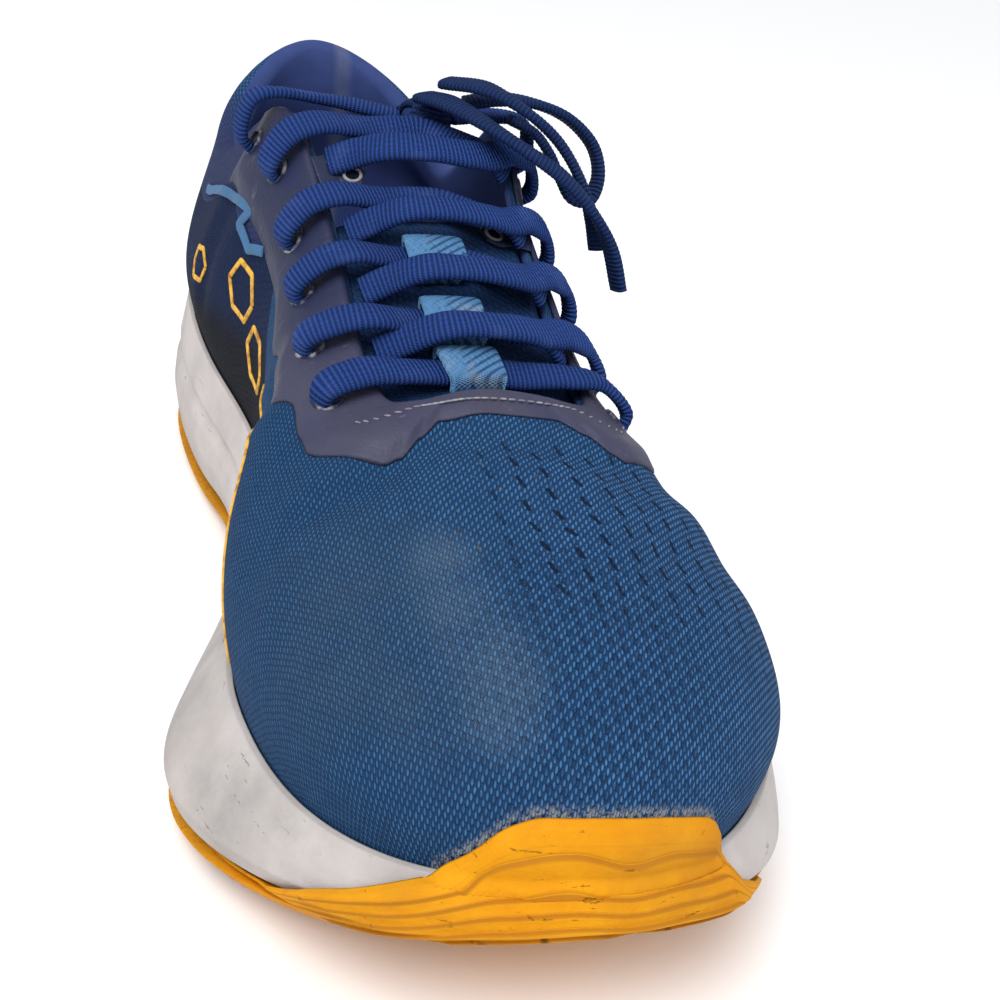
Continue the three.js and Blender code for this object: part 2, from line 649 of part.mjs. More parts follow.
function keeper(row) {
  const across = KEEPER_WIDTH / 2 / HALF_THROAT;
  const reach = LACE_WIDTH / 2 + KEEPER_ROOM;
  const height = LACE_REST + LACE_THICKNESS + KEEPER_ROOM;
  const layer = (grow) => KEEPER_SHAPE.map(([step, rise]) => {
    const place = throatStation(rowDistance(row) + step * (reach + grow));
    return along(KEEPER_MIDDLE - across, KEEPER_MIDDLE + across, 2).map((a) => (
      throatPlace(a, place, GAP - TONGUE_DEPTH + rise * (height + grow))[0]));
  });
  return patch(layer(KEEPER_THICKNESS), layer(0));
}

// Lace runs: stops of [across, row, lift from the low to the over level]
const ACROSS_EYELET = 1 + EYELET_INSET / HALF_THROAT;
const BAR = [[-ACROSS_EYELET, 0, 1], [-1.1, 0, 1.05], [-0.8, 0, 0.6], [-0.4, 0.02, 0.05], [0, 0.02, 0]];
const BAR_RUN = [...BAR, ...BAR.slice(0, -1).reverse().map(([across, row, lift]) => [-across, row, lift])];
const RISING_RUN = [
  [-0.9, 0.62, 0], [-0.6, 0.6, 0.5], [-0.3, 0.53, 1.25], [0, 0.5, 1.4], [0.3, 0.52, 1.4],
  [0.55, 0.62, 1.2], [0.8, 0.82, 1.15], [1.12, 0.96, 1.1], [ACROSS_EYELET, 1, 1],
];
const CROSSING_RUN = [
  [0.9, 0.62, 0.3], [0.65, 0.7, 0.85], [0.42, 0.86, 0.4], [0.16, 1.03, 0], [-0.12, 1.03, 0], [-0.42, 1.03, 0.02],
  [-0.85, 1, 0.95], [-1.12, 1, 1.1], [-ACROSS_EYELET, 1, 1],
];
const CROSSINGS = 4;

function laceRun(stops, row) {
  const liftAt = (level) => LACE_LOW + level * (LACE_OVER - LACE_LOW);
  const frames = stops.map(([across, more, level]) => throatPlace(across, rowPlace(row + more), liftAt(level)));
  const curve = new THREE.CatmullRomCurve3(frames.map(([point]) => point), false, 'centripetal');
  const pieces = Math.round(1.5 * (frames.length - 1));
  const band = steps(pieces).map((u) => {
    const index = Math.min(Math.floor(u * (frames.length - 1)), frames.length - 2);
    const share = u * (frames.length - 1) - index;
    return [curve.getPoint(u), frames[index][1].clone().lerp(frames[index + 1][1], share)];
  });
  return flatBand(band, LACE_WIDTH, LACE_THICKNESS);
}


function smoothBand(stops, count, width, thickness) {
  const curve = new THREE.CatmullRomCurve3(stops.map(([place]) => place), false, 'centripetal');
  const band = steps(count).map((u) => {
    const index = Math.min(Math.floor(u * (stops.length - 1)), stops.length - 2);
    const share = u * (stops.length - 1) - index;
    return [curve.getPoint(u), stops[index][1].clone().lerp(stops[index + 1][1], share)];
  });
  return flatBand(band, width, thickness);
}

// The two runs that leave the top eyelets for the knot
const KNOT = new THREE.Vector3(0.19 * HALF_WIDTH, 0.218 * HALF_LENGTH, 0.9955 * COLLAR_HEIGHT);
const KNOT_SIZE = [15, 12, 9];

function topRun(side) {
  const row = EYELET_ROWS.length - 1;
  const [first, normal] = throatPlace(side * ACROSS_EYELET, rowPlace(row), LACE_OVER + 1);
  const [second] = throatPlace(side * 1.05, rowPlace(row), LACE_OVER + 2.5);
  const end = KNOT.clone().add(new THREE.Vector3(side * (KNOT_SIZE[0] / 2 + 3 * GAP), 1, 0));
  const middle = second.clone().lerp(end, 0.5).add(new THREE.Vector3(0, 2, 1));
  return smoothBand([[first, normal], [second, normal], [middle, UP], [end, UP]], 9, LACE_WIDTH, LACE_THICKNESS);
}

const crossing = (row) => laceRun(RISING_RUN, row).add(laceRun(CROSSING_RUN, row));

// The bow: one loop and two ends, all hanging over the outer side. Each stop is a place from the
// knot, and the way the lace's flat side faces there.
const stop = (x, y, z, facing) => [new THREE.Vector3(x, y, z).add(KNOT), new THREE.Vector3(...facing)];

const LOOP = [
  stop(8.5, -2.5, 4.5, [0.1, 0, 1]), stop(16, -3, 6, [0, 0, 1]), stop(25, -4, 5.8, [0.2, 0, 1]),
  stop(34, -6, 3, [0.5, 0, 0.9]), stop(40.5, -8.5, -3, [0.9, 0, 0.4]), stop(42, -10.5, -10, [1, 0, 0]),
  stop(39.5, -11.5, -15, [0.6, 0, -0.8]), stop(35.5, -11, -15, [-0.4, 0, -0.9]),
  stop(32.5, -9.5, -10.5, [-0.9, 0, -0.5]), stop(30, -7, -5.5, [-0.8, 0, -0.6]),
  stop(26.5, -4.5, -1.3, [-0.5, 0, -0.9]), stop(20, -3, 1.5, [-0.1, 0, -1]),
];
const FRONT_END = [
  stop(-2, -4, 5.6, [0, 0, 1]), stop(2, -12, 5.8, [0, 0, 1]), stop(9, -20, 3, [0.2, -0.2, 1]),
  stop(17, -25.5, -1, [0.4, -0.2, 0.9]), stop(25, -29, -5.5, [0.6, -0.2, 0.8]),
  stop(32, -32.5, -12, [0.8, -0.2, 0.5]), stop(37, -35, -20, [0.9, -0.1, 0.3]), stop(40, -37, -29.5, [1, 0, 0.2]),
];
const BACK_END = [
  stop(3.5, -2, 8.8, [0, 0, 1]), stop(11, -10, 9.3, [0, 0, 1]), stop(19, -16, 6, [0.3, -0.1, 1]),
  stop(26.5, -19.5, 0.5, [0.7, -0.1, 0.7]), stop(32, -22.5, -7, [0.9, -0.1, 0.4]),
  stop(35.5, -25, -15.5, [0.95, 0, 0.3]), stop(37.5, -27, -23, [1, 0, 0.2]),
];

function knot() {
  const ball = new THREE.SphereGeometry(0.5, 12, 8);
  return solidOf(ball.scale(...KNOT_SIZE).translate(...KNOT.toArray()));
}

const group = new THREE.Group();

function addPiece(name, solid, material) {
  const mesh = new THREE.Mesh(geometryOf(solid), material);
  mesh.name = name;
  group.add(mesh);
}

addPiece('outsole', outsole(), OUTSOLE);
addPiece('midsole', midsole(), MIDSOLE);
addPiece('insole', insole(), FOAM);
addPiece('upper', upper(), KNIT);
addPiece('eyestay', eyestay(), FILM);
addPiece('tongue', tongue(), LINING);
KEEPER_ROWS.forEach((row, k) => addPiece(`lace_keeper_${k + 1}`, keeper(row), WEBBING));
addPiece('lace_bar', laceRun(BAR_RUN, 0), CORD);
for (let row = 0; row < CROSSINGS; row += 1) {
  addPiece(`lace_crossing_${row + 1}`, crossing(row), CORD);
}
addPiece('lace_top_outer', topRun(1), CORD);
addPiece('lace_top_inner', topRun(-1), CORD);
addPiece('lace_knot', knot(), CORD);
addPiece('lace_loop', smoothBand(LOOP, 20, LACE_WIDTH, LACE_THICKNESS), CORD);
addPiece('lace_end_front', smoothBand(FRONT_END, 9, LACE_WIDTH, LACE_THICKNESS), CORD);
addPiece('lace_end_back', smoothBand(BACK_END, 8, LACE_WIDTH, LACE_THICKNESS), CORD);

export default group;
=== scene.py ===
# A worn running shoe for the left foot: its looks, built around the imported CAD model.
# Metres, +Z up, the toe towards -Y and the outer side of the foot towards +X.

import math
from functools import lru_cache

import bmesh
import bpy
import numpy as np
from mathutils import Matrix, Vector


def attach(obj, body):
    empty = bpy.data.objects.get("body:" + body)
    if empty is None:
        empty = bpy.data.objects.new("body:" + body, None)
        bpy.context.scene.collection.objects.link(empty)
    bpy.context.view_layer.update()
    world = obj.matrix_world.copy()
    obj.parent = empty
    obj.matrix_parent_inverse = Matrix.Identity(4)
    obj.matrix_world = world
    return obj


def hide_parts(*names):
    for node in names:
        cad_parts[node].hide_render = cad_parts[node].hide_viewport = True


bl_info = {
    "name": "Worn Running Shoe",
    "version": (1, 0, 0),
    "blender": (4, 5, 0),
    "location": "View3D > Sidebar > Shoe",
    "description": "Knitted upper, film eyestay, tied laces, foam midsole and rubber outsole",
    "category": "Add Mesh",
}

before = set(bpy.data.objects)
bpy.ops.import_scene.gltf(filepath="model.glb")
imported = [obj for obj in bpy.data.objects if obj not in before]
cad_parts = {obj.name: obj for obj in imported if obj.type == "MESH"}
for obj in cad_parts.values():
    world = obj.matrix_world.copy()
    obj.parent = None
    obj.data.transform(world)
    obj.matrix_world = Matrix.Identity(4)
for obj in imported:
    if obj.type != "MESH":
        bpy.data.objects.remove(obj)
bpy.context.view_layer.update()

# Overall sizes of the last and the sole
HALF_LENGTH = 0.1445
HALF_WIDTH = 0.05775
RIM_HEIGHT = 0.043
COLLAR_HEIGHT = 0.110

# The sole against the ground
TOE_SPRING = 0.022
HEEL_BEVEL = 0.007
WAIST_RISE = 0.0035
TOE_BREAK = -0.42
HEEL_BREAK = 0.68
WAIST_FRONT = -0.12
WAIST_BACK = 0.36

# Clearances and thicknesses that the pieces share
GAP = 0.0003
OUTSOLE_THICKNESS = 0.0035
SOLE_EDGE_INSET = 0.005
BUMPER_GAP = 0.00075
SIDE_GROOVE = 0.0013
GROOVE_FRONT = -0.3
GROOVE_FULL = 0.15
LIP = 0.0015
LIP_DEPTH = 0.006
FOOTBED_DISH = 0.003
FOOTBED_EDGE = 0.014
TREAD_EDGE = 0.014
INSOLE_THICKNESS = 0.0045
FILM_TOP = 0.0017
TONGUE_DEPTH = 0.0045
HALF_THROAT = 0.022
THROAT_CROWN = 0.004
EYELET_INSET = 0.010
GROOVE_WIDTH = 0.0036
GROOVE_DEPTH = 0.002
NOTCH_WIDTH = 0.0026

# Stations round the shoe, from the toe by the outer side, the heel and the inner side:
# [outline x, y], [rim x, y, z], [top edge x, y, z], [lean, rise, reach, drop].
# x, lean and reach are shares of HALF_WIDTH, y of HALF_LENGTH, rim z of RIM_HEIGHT,
# and top z, rise and drop of COLLAR_HEIGHT.
STATIONS = [
    [[0.022, -0.985], [0.022, -0.955, 0.72], [0.056, -0.378, 0.685], [0.05, 0.2, 0.84, 0.1]],
    [[0.425, -0.967], [0.394, -0.925, 0.68], [0.229, -0.38, 0.672], [0.09, 0.2, 0.72, 0.09]],
    [[0.74, -0.862], [0.71, -0.81, 0.62], [0.362, -0.372, 0.65], [0.17, 0.19, 0.46, 0.08]],
    [[0.945, -0.682], [0.885, -0.66, 0.6], [0.458, -0.338, 0.638], [0.13, 0.12, 0.2, 0.05]],
    [[1, -0.467], [0.885, -0.46, 0.61], [0.474, -0.253, 0.674], [-0.02, 0.08, 0.07, 0.04]],
    [[0.93, -0.204], [0.79, -0.218, 0.67], [0.482, -0.107, 0.764], [-0.07, 0.09, 0.04, 0.06]],
    [[0.86, 0.073], [0.74, 0.052, 0.79], [0.484, 0.059, 0.873], [-0.04, 0.15, 0.07, 0.1]],
    [[0.835, 0.336], [0.732, 0.322, 0.91], [0.53, 0.253, 0.982], [0.02, 0.18, 0.1, 0.18]],
    [[0.835, 0.612], [0.749, 0.599, 0.98], [0.662, 0.557, 0.8], [0.09, 0.15, 0.03, 0.13]],
    [[0.662, 0.869], [0.593, 0.827, 1], [0.541, 0.82, 0.9], [0.12, 0.16, -0.02, 0.15]],
    [[0.056, 1], [0.056, 0.952, 1], [0.056, 0.965, 1], [0.16, 0.24, -0.14, 0.22]],
    [[-0.55, 0.875], [-0.481, 0.834, 1], [-0.4, 0.83, 0.9], [0.14, 0.16, 0, 0.15]],
    [[-0.723, 0.626], [-0.636, 0.612, 0.98], [-0.52, 0.557, 0.818], [0.12, 0.15, 0.05, 0.13]],
    [[-0.688, 0.349], [-0.602, 0.336, 0.91], [-0.394, 0.253, 0.991], [0.12, 0.22, 0.21, 0.2]],
    [[-0.619, 0.073], [-0.515, 0.059, 0.84], [-0.307, 0.059, 0.891], [0.07, 0.22, 0.21, 0.11]],
    [[-0.72, -0.204], [-0.584, -0.218, 0.72], [-0.29, -0.114, 0.782], [0.09, 0.22, 0.28, 0.09]],
    [[-0.94, -0.42], [-0.758, -0.446, 0.65], [-0.29, -0.26, 0.7], [0.1, 0.2, 0.42, 0.07]],
    [[-1, -0.6], [-0.775, -0.615, 0.64], [-0.25, -0.35, 0.655], [0.09, 0.2, 0.55, 0.08]],
    [[-0.8, -0.785], [-0.67, -0.782, 0.67], [-0.175, -0.38, 0.662], [0.07, 0.21, 0.68, 0.09]],
    [[-0.45, -0.928], [-0.385, -0.9, 0.68], [-0.075, -0.38, 0.675], [0.05, 0.21, 0.78, 0.1]],
]

# Where the eyelet pairs sit along the shoe, as shares of HALF_LENGTH
EYELET_ROWS = [-0.315, -0.225, -0.1, 0.02, 0.14, 0.25]

# How finely the pieces are sampled
ROUND_STEPS = 312
LACE_PITCH = 0.0005
LACE_SIDES = 14

# Share of the way round a thin section that lies on its outside
OUTSIDE = 0.7

# The lace's slight twist: angle, run and start, then the roundness of its section and its ribs
TWIST = 0.12
TWIST_RUN = 0.006
TWIST_START = 0.7
SECTION_ROUND = (0.75, 0.6)
RIB_DIP = 0.9

UP = Vector((0, 0, 1))


def smooth_step(low, high, value):
    """0 up to low, 1 from high, and smooth between."""
    u = min(max((value - low) / (high - low), 0), 1)
    return u * u * (3 - 2 * u)


def smooth_loop(rows):
    """A smooth closed curve through every row, as a function of the share of the way round."""
    rows = np.array(rows, float)
    count = len(rows)
    control = rows.copy()
    for _ in range(60):
        mean = (np.roll(control, 1, 0) + 4 * control + np.roll(control, -1, 0)) / 6
        control = control + 1.2 * (rows - mean)

    def at(place):
        along = (place % 1.0) * count
        index = int(along)
        u = along - index
        weights = (
            (1 - u) ** 3 / 6,
            (3 * u ** 3 - 6 * u ** 2 + 4) / 6,
            (-3 * u ** 3 + 3 * u ** 2 + 3 * u + 1) / 6,
            u ** 3 / 6,
        )
        return sum(weight * control[(index + k - 1) % count] for k, weight in enumerate(weights))

    return at


outline_loop = smooth_loop([[x * HALF_WIDTH, y * HALF_LENGTH] for (x, y), _, _, _ in STATIONS])
rim_loop = smooth_loop([
    [x * HALF_WIDTH, y * HALF_LENGTH, z * RIM_HEIGHT] for _, (x, y, z), _, _ in STATIONS])
top_loop = smooth_loop([
    [x * HALF_WIDTH, y * HALF_LENGTH, z * COLLAR_HEIGHT] for _, _, (x, y, z), _ in STATIONS])
fullness_loop = smooth_loop([
    [lean * HALF_WIDTH, rise * COLLAR_HEIGHT, reach * HALF_WIDTH, drop * COLLAR_HEIGHT]
    for _, _, _, (lean, rise, reach, drop) in STATIONS])


@lru_cache(maxsize=None)
def outward(s):
    """The level outward direction at a place on the rim."""
    step = 0.0005
    along = rim_loop(s + step) - rim_loop(s - step)
    return Vector((along[1], -along[0], 0)).normalized()


class Column:
    """The upper's outer surface over one place on the rim, from the rim to the top edge."""

    def __init__(self, s):
        self.out = outward(s)
        self.low = Vector(rim_loop(s))
        self.high = Vector(top_loop(s))
        lean, rise, reach, drop = fullness_loop(s)
        self.low_pull = self.low + self.out * lean + UP * rise
        self.high_pull = self.high + self.out * reach - UP * drop
        self.shares = np.linspace(1, 0, 61)
        points = [self.point(t) for t in self.shares]
        steps = [(b - a).length for a, b in zip(points, points[1:])]
        self.lengths = np.concatenate([[0], np.cumsum(steps)])

    def point(self, t):
        return (self.low * (1 - t) ** 3 + self.low_pull * 3 * (1 - t) ** 2 * t
                + self.high_pull * 3 * (1 - t) * t ** 2 + self.high * t ** 3)

    def depth(self, t):
        """Length along the surface from the top edge down to t."""
        return float(np.interp(1 - t, 1 - self.shares, self.lengths))

    def share(self, length):
        """The t that lies a length along the surface under the top edge."""
        return float(np.interp(length, self.lengths, self.shares))


@lru_cache(maxsize=None)
def column(s):
    """The column at a station, worked out once."""
    return Column(s)


def upper_normal(s, t):
    """The way the upper faces at a station and a share of its height."""
    step = 0.002
    around = column(s + step).point(t) - column(s - step).point(t)
    middle = column(s)
    rise = middle.point(min(t + step, 1)) - middle.point(max(t - step, 0))
    return around.cross(rise).normalized()


def flat_place(s, t):
    """Where a point of the upper lies in the flat pattern of the fabric: true lengths down from the top."""
    middle = column(s)
    point = middle.point(t)
    shift = (point - middle.high).xy
    out = middle.out.xy
    length = middle.depth(t)
    lean = shift.dot(out)
    extra = -lean + math.sqrt(max(lean ** 2 - shift.length_squared + length ** 2, 0))
    return point.xy + out * max(extra, 0)


# Creases in the flat pattern: start, end, half width, depth (a ridge where it is negative)
CREASES = [
    ((-0.034, -0.078), (-0.006, -0.066), 0.0040, 0.0010),
    ((-0.004, -0.069), (0.026, -0.074), 0.0045, 0.0008),
    ((-0.048, -0.092), (-0.014, -0.083), 0.0055, -0.0008),
    ((0.026, -0.080), (0.044, -0.068), 0.0050, 0.0007),
    ((0.028, -0.098), (0.050, -0.088), 0.0060, 0.0005),
    ((-0.030, -0.120), (0.002, -0.094), 0.0090, 0.0009),
    ((-0.010, -0.126), (0.014, -0.096), 0.0080, -0.0006),
    ((-0.062, -0.020), (-0.040, -0.034), 0.0045, 0.0009),
    ((0.060, -0.020), (0.044, -0.030), 0.0045, 0.0008),
    ((-0.075, 0.050), (-0.050, 0.038), 0.0060, 0.0010),
    ((0.078, 0.052), (0.052, 0.040), 0.0060, 0.0009),
    ((0.012, 0.205), (0.004, 0.170), 0.0040, 0.0008),
]


def relief(place):
    """Height of the soft creases at a place in the flat pattern."""
    height = 0
    for start, end, width, depth in CREASES:
        start = Vector(start)
        along = Vector(end) - start
        reach = (place - start).dot(along) / along.length_squared
        near = start + along * min(max(reach, 0), 1)
        away = (place - near).length / width
        if away < 4:
            height += depth * (0.45 * math.exp(-(away - 1.7) ** 2) - math.exp(-away ** 2))
    return height


def skin(s, t, lift=0):
    """A point over the creased outer surface of the upper."""
    fade = smooth_step(0, 0.12, t) * smooth_step(0, 0.008, column(s).depth(t))
    return column(s).point(t) + upper_normal(s, t) * (lift + fade * relief(flat_place(s, t)))


def tread_height(y):
    """Height of the tread over the ground along the shoe."""
    share = y / HALF_LENGTH
    toe = max(0, (TOE_BREAK - share) / (TOE_BREAK + 1)) ** 2 * TOE_SPRING
    heel = max(0, (share - HEEL_BREAK) / (1 - HEEL_BREAK)) ** 2 * HEEL_BEVEL
    across = min(max((share - WAIST_FRONT) / (WAIST_BACK - WAIST_FRONT), 0), 1)
    return toe + heel + WAIST_RISE * math.sin(math.pi * across) ** 2


def outline_point(s, offset):
    """A level point that lies some way outside the sole's outline."""
    x, y = outline_loop(s)
    return Vector((x, y, 0)) + outward(s) * offset


# Rows of the midsole's side, from its bottom edge to its lip: share of the side's height,
# share of the way from outline to rim, insets in shares of SOLE_EDGE_INSET and SIDE_GROOVE
SIDE_ROWS = np.array([
    [0, 0, 1, 0],
    [0.13, 0, 0.22, 0],
    [0.34, 0, 0, 0],
    [0.52, 0.17, 0, 0],
    [0.57, 0.24, 0, 1],
    [0.63, 0.33, 0, 1],
    [0.68, 0.4, 0, 0],
    [0.85, 0.72, 0, 0],
    [1, 1, 0, 0],
])


def side_point(s, height, groove=1.0, soften=0.0):
    """The side of the midsole at a share of its height, with its corners softened over a span."""
    heights = [height] if not soften else np.linspace(height - soften, height + soften, 5)
    rows = [[np.interp(h, SIDE_ROWS[:, 0], SIDE_ROWS[:, k]) for k in (1, 2, 3)] for h in heights]
    way, edge, cut = np.mean(rows, axis=0)
    if height < 0:
        slope = (SIDE_ROWS[1] - SIDE_ROWS[0]) / (SIDE_ROWS[1, 0] - SIDE_ROWS[0, 0])
        edge = SIDE_ROWS[0, 2] + slope[2] * height
    start = outline_point(s, -edge * SOLE_EDGE_INSET)
    end = Vector(rim_loop(s)) + outward(s) * LIP
    bottom = tread_height(start.y) + OUTSOLE_THICKNESS + GAP
    grooved = groove * smooth_step(GROOVE_FRONT, GROOVE_FULL, start.y / HALF_LENGTH)
    point = start.lerp(end, way) - outward(s) * (cut * grooved * SIDE_GROOVE)
    point.z = bottom + height * (end.z - bottom)
    return point


def on_side(side, s):
    """The station on the outer (1) or inner (-1) side that matches an outer one."""
    return s if side > 0 else 1 - s


@lru_cache(maxsize=None)
def throat_station(y):
    """The place on the loop where the throat's two edges are, on average, this far along."""
    low, high = 0.12, 0.37
    for _ in range(30):
        middle = (low + high) / 2
        if (top_loop(middle)[1] + top_loop(1 - middle)[1]) / 2 < y:
            low = middle
        else:
            high = middle
    return low


def row_place(row):
    """The station of a row of eyelets: 0 at the front pair, 5 at the top pair, and shares between."""
    index = min(max(int(math.floor(row)), 0), len(EYELET_ROWS) - 2)
    low, high = EYELET_ROWS[index:index + 2]
    return throat_station((low + (row - index) * (high - low)) * HALF_LENGTH)


def throat_base(across, s):
    """A place on the sheet that spans the throat's edges at film height, and the way it faces."""
    outer, inner = s, 1 - s
    share = (across + 1) / 2
    outer_normal, inner_normal = upper_normal(outer, 1), upper_normal(inner, 1)
    low = Vector(top_loop(inner)) + inner_normal * FILM_TOP
    high = Vector(top_loop(outer)) + outer_normal * FILM_TOP
    normal = inner_normal.lerp(outer_normal, share).normalized()
    return low.lerp(high, share) + UP * THROAT_CROWN * (1 - across ** 2), normal


def throat_place(across, s, lift):
    """A place over the throat, from its inner edge (-1) to its outer edge (1) and past them."""
    if abs(across) > 1:
        place = on_side(across, s)
        t = column(place).share((abs(across) - 1) * HALF_THROAT)
        normal = upper_normal(place, t)
        return column(place).point(t) + normal * (FILM_TOP + lift), normal
    step = 0.002
    point, normal = throat_base(across, s)
    back = throat_base(across, s + step)[0] - throat_base(across, s - step)[0]
    over = throat_base(across + step, s)[0] - throat_base(across - step, s)[0]
    return point + normal * lift, over.cross(back).normalized()


def curve_point(points, u):
    """A point on the centripetal curve through the points, as the CAD model's laces follow."""
    last = len(points) - 1
    index = min(int(u * last), last - 1)
    w = u * last - index
    p1, p2 = points[index], points[index + 1]
    p0 = points[index - 1] if index > 0 else p1 * 2 - p2
    p3 = points[index + 2] if index + 2 <= last else p2 * 2 - p1
    spans = [max((b - a).length ** 0.5, 1e-5) for a, b in ((p0, p1), (p1, p2), (p2, p3))]
    d0, d1, d2 = spans
    t1 = ((p1 - p0) / d0 - (p2 - p0) / (d0 + d1) + (p2 - p1) / d1) * d1
    t2 = ((p2 - p1) / d1 - (p3 - p1) / (d1 + d2) + (p3 - p2) / d2) * d1
    return (p1 + t1 * w + (p2 * 3 - p1 * 3 - t1 * 2 - t2) * w ** 2
            + (p1 * 2 - p2 * 2 + t1 + t2) * w ** 3)


def lace_frames(stops, pitch):
    """Evenly spaced (place, facing, width share) along stops of (place, facing, width share)."""
    points = [stop[0] for stop in stops]
    fine = [curve_point(points, k / 240) for k in range(241)]
    lengths = np.concatenate([[0], np.cumsum([(b - a).length for a, b in zip(fine, fine[1:])])])
    count = max(int(round(lengths[-1] / pitch)), 4)
    frames = []
    for k in range(count + 1):
        u = float(np.interp(lengths[-1] * k / count, lengths, np.linspace(0, 1, 241)))
        index = min(int(u * (len(stops) - 1)), len(stops) - 2)
        share = u * (len(stops) - 1) - index
        facing = stops[index][1].lerp(stops[index + 1][1], share)
        breadth = stops[index][2] + share * (stops[index + 1][2] - stops[index][2])
        frames.append((curve_point(points, u), facing, breadth))
    return frames, float(lengths[-1])


def grid_mesh(across, along, place, flat, wrap=False, caps=False, lining=None, zones=None):
    """A mesh whose grid vertices are moved to place(u, v), with its flat pattern as its UV map."""
    mesh = bmesh.new()
    bmesh.ops.create_grid(mesh, x_segments=across, y_segments=along, size=0.5)
    mesh.loops.layers.uv.new("flat")
    if zones:
        mesh.loops.layers.uv.new("zones")
        zone_layer = mesh.loops.layers.uv["zones"]
    layer = mesh.loops.layers.uv["flat"]
    spots = {}
    for vert in mesh.verts:
        u = round((vert.co.x + 0.5) * across) / across
        v = round((vert.co.y + 0.5) * along) / along
        spots[vert] = (u, v, flat(u, v))
    for face in mesh.faces:
        if lining is not None:
            middle = sum(spots[vert][1] for vert in face.verts) / len(face.verts)
            face.material_index = int(middle > lining)
        for loop in face.loops:
            u, v, pattern = spots[loop.vert]
            loop[layer].uv = pattern
            if zones:
                loop[zone_layer].uv = zones(u, v)
    for vert, (u, v, _) in spots.items():
        vert.co = place(u % 1.0 if wrap else u, v)
    if wrap:
        edge = [vert for vert in mesh.verts if vert.is_boundary]
        bmesh.ops.remove_doubles(mesh, verts=edge, dist=1e-7)
    if caps:
        open_edges = [edge for edge in mesh.edges if edge.is_boundary]
        bmesh.ops.holes_fill(mesh, edges=open_edges, sides=0)
    bmesh.ops.recalc_face_normals(mesh, faces=mesh.faces)
    return mesh


def ribbon_mesh(stops, width, thickness, pitch=LACE_PITCH):
    """A woven flat lace along the stops, with a rib at every second ring."""
    frames, length = lace_frames(stops, pitch)
    count = len(frames) - 1
    rings = []
    for k, (point, facing, breadth) in enumerate(frames):
        along = (frames[min(k + 1, count)][0] - frames[max(k - 1, 0)][0]).normalized()
        side = along.cross(facing).normalized()
        turn = Matrix.Rotation(TWIST * math.sin(TWIST_START + k * pitch / TWIST_RUN), 3, along)
        side = turn @ side
        top = side.cross(along).normalized()
        rib = 1.0 if k % 2 else RIB_DIP
        rings.append((point, side * width / 2 * breadth, top * thickness / 2 * rib))

    def place(u, v):
        point, side, top = rings[round(v * count)]
        angle = 2 * math.pi * u
        x, z = math.cos(angle), math.sin(angle)
        return (point + side * math.copysign(abs(x) ** SECTION_ROUND[0], x)
                + top * math.copysign(abs(z) ** SECTION_ROUND[1], z))

    mesh = grid_mesh(LACE_SIDES, count, place, lambda u, v: (u, v * length * 100), wrap=True, caps=True)
    return mesh, [point for point, _, _ in frames]


def section_share(u):
    """How far across a thin section a place is, as u goes over its outside and back under it."""
    return u / OUTSIDE if u < OUTSIDE else 1 - (u - OUTSIDE) / (1 - OUTSIDE)


def row_at(rows, v):
    """The row of a table at a share of its length, blended between rows."""
    steps = np.linspace(0, 1, len(rows))
    return [float(np.interp(v, steps, values)) for values in zip(*rows)]


def merge(target, mesh):
    """Moves a finished mesh into another that is still being built."""
    data = bpy.data.meshes.new("part")
    mesh.to_mesh(data)
    mesh.free()
    target.from_mesh(data)
    bpy.data.meshes.remove(data)


def add_piece(context, name, mesh, finishes, replaces=()):
    """Makes an object of a finished mesh, which rides on the shoe and stands for its CAD nodes."""
    data = bpy.data.meshes.new(name)
    mesh.to_mesh(data)
    mesh.free()
    data.shade_smooth()
    for finish in finishes:
        data.materials.append(finish)
    piece = bpy.data.objects.new(name, data)
    context.collection.objects.link(piece)
    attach(piece, "root")
    if replaces:
        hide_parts(*replaces)
    return piece


# Top edge of the dark panel on the inner quarter: t by station, counted back from the toe
PANEL_TOPS = [
    (0.176, 0), (0.184, 0.28), (0.194, 0.48), (0.206, 0.53), (0.24, 0.46), (0.272, 0.39), (0.284, 0.48),
    (0.295, 0.66), (0.31, 0.66), (0.322, 0.58), (0.334, 0.62), (0.35, 0.67), (0.382, 0.72), (0.43, 0.70),
    (0.455, 0.45), (0.47, 0),
]

# Top of the toe bumper by station, in shares of the midsole's side: over 1 it lies on the upper
BUMPER_TOPS = [
    (-0.14, -0.06), (-0.128, 0.03), (-0.12, 0.06), (-0.1, 0.1), (-0.09, 0.22), (-0.08, 0.44),
    (-0.07, 0.6), (-0.06, 0.82), (-0.05, 1.04), (-0.04, 1.22), (-0.03, 1.46),
    (-0.02, 1.56), (0, 1.55), (0.02, 1.51), (0.032, 1.46), (0.042, 1.40),
    (0.0485, 1.24), (0.0525, 0.6), (0.06, 0.42), (0.07, 0.18), (0.08, 0.02), (0.09, -0.07),
]
RISE_ON_UPPER = 0.3
BUMPER_START = -0.135
BUMPER_END = 0.087
TOE_NOTCHES = [-0.05, -0.015, 0.02, 0.055]


def bumper_top(s):
    """The bumper's top at a station, its corners softened."""
    stations, tops = zip(*BUMPER_TOPS)
    return float(np.interp(np.linspace(s - 0.0035, s + 0.0035, 9), stations, tops).mean())


def knit_zones(s, t):
    """How far a place is inside the dark panel, and how far over the bumper's top, in tenths of t."""
    turn = s if s < 0.5 else s - 1
    stations, tops = zip(*PANEL_TOPS)
    panel = float(np.interp(-turn, stations, tops, 0, 0)) - t
    top = bumper_top(turn) if abs(turn) < 0.1 else 0
    over = t - (top - 1) * RISE_ON_UPPER if top > 1 else 1
    return panel * 10, over * 10


# Materials

MATT = {"Specular IOR Level": 0.12}
SATIN = {"Specular IOR Level": 0.3}


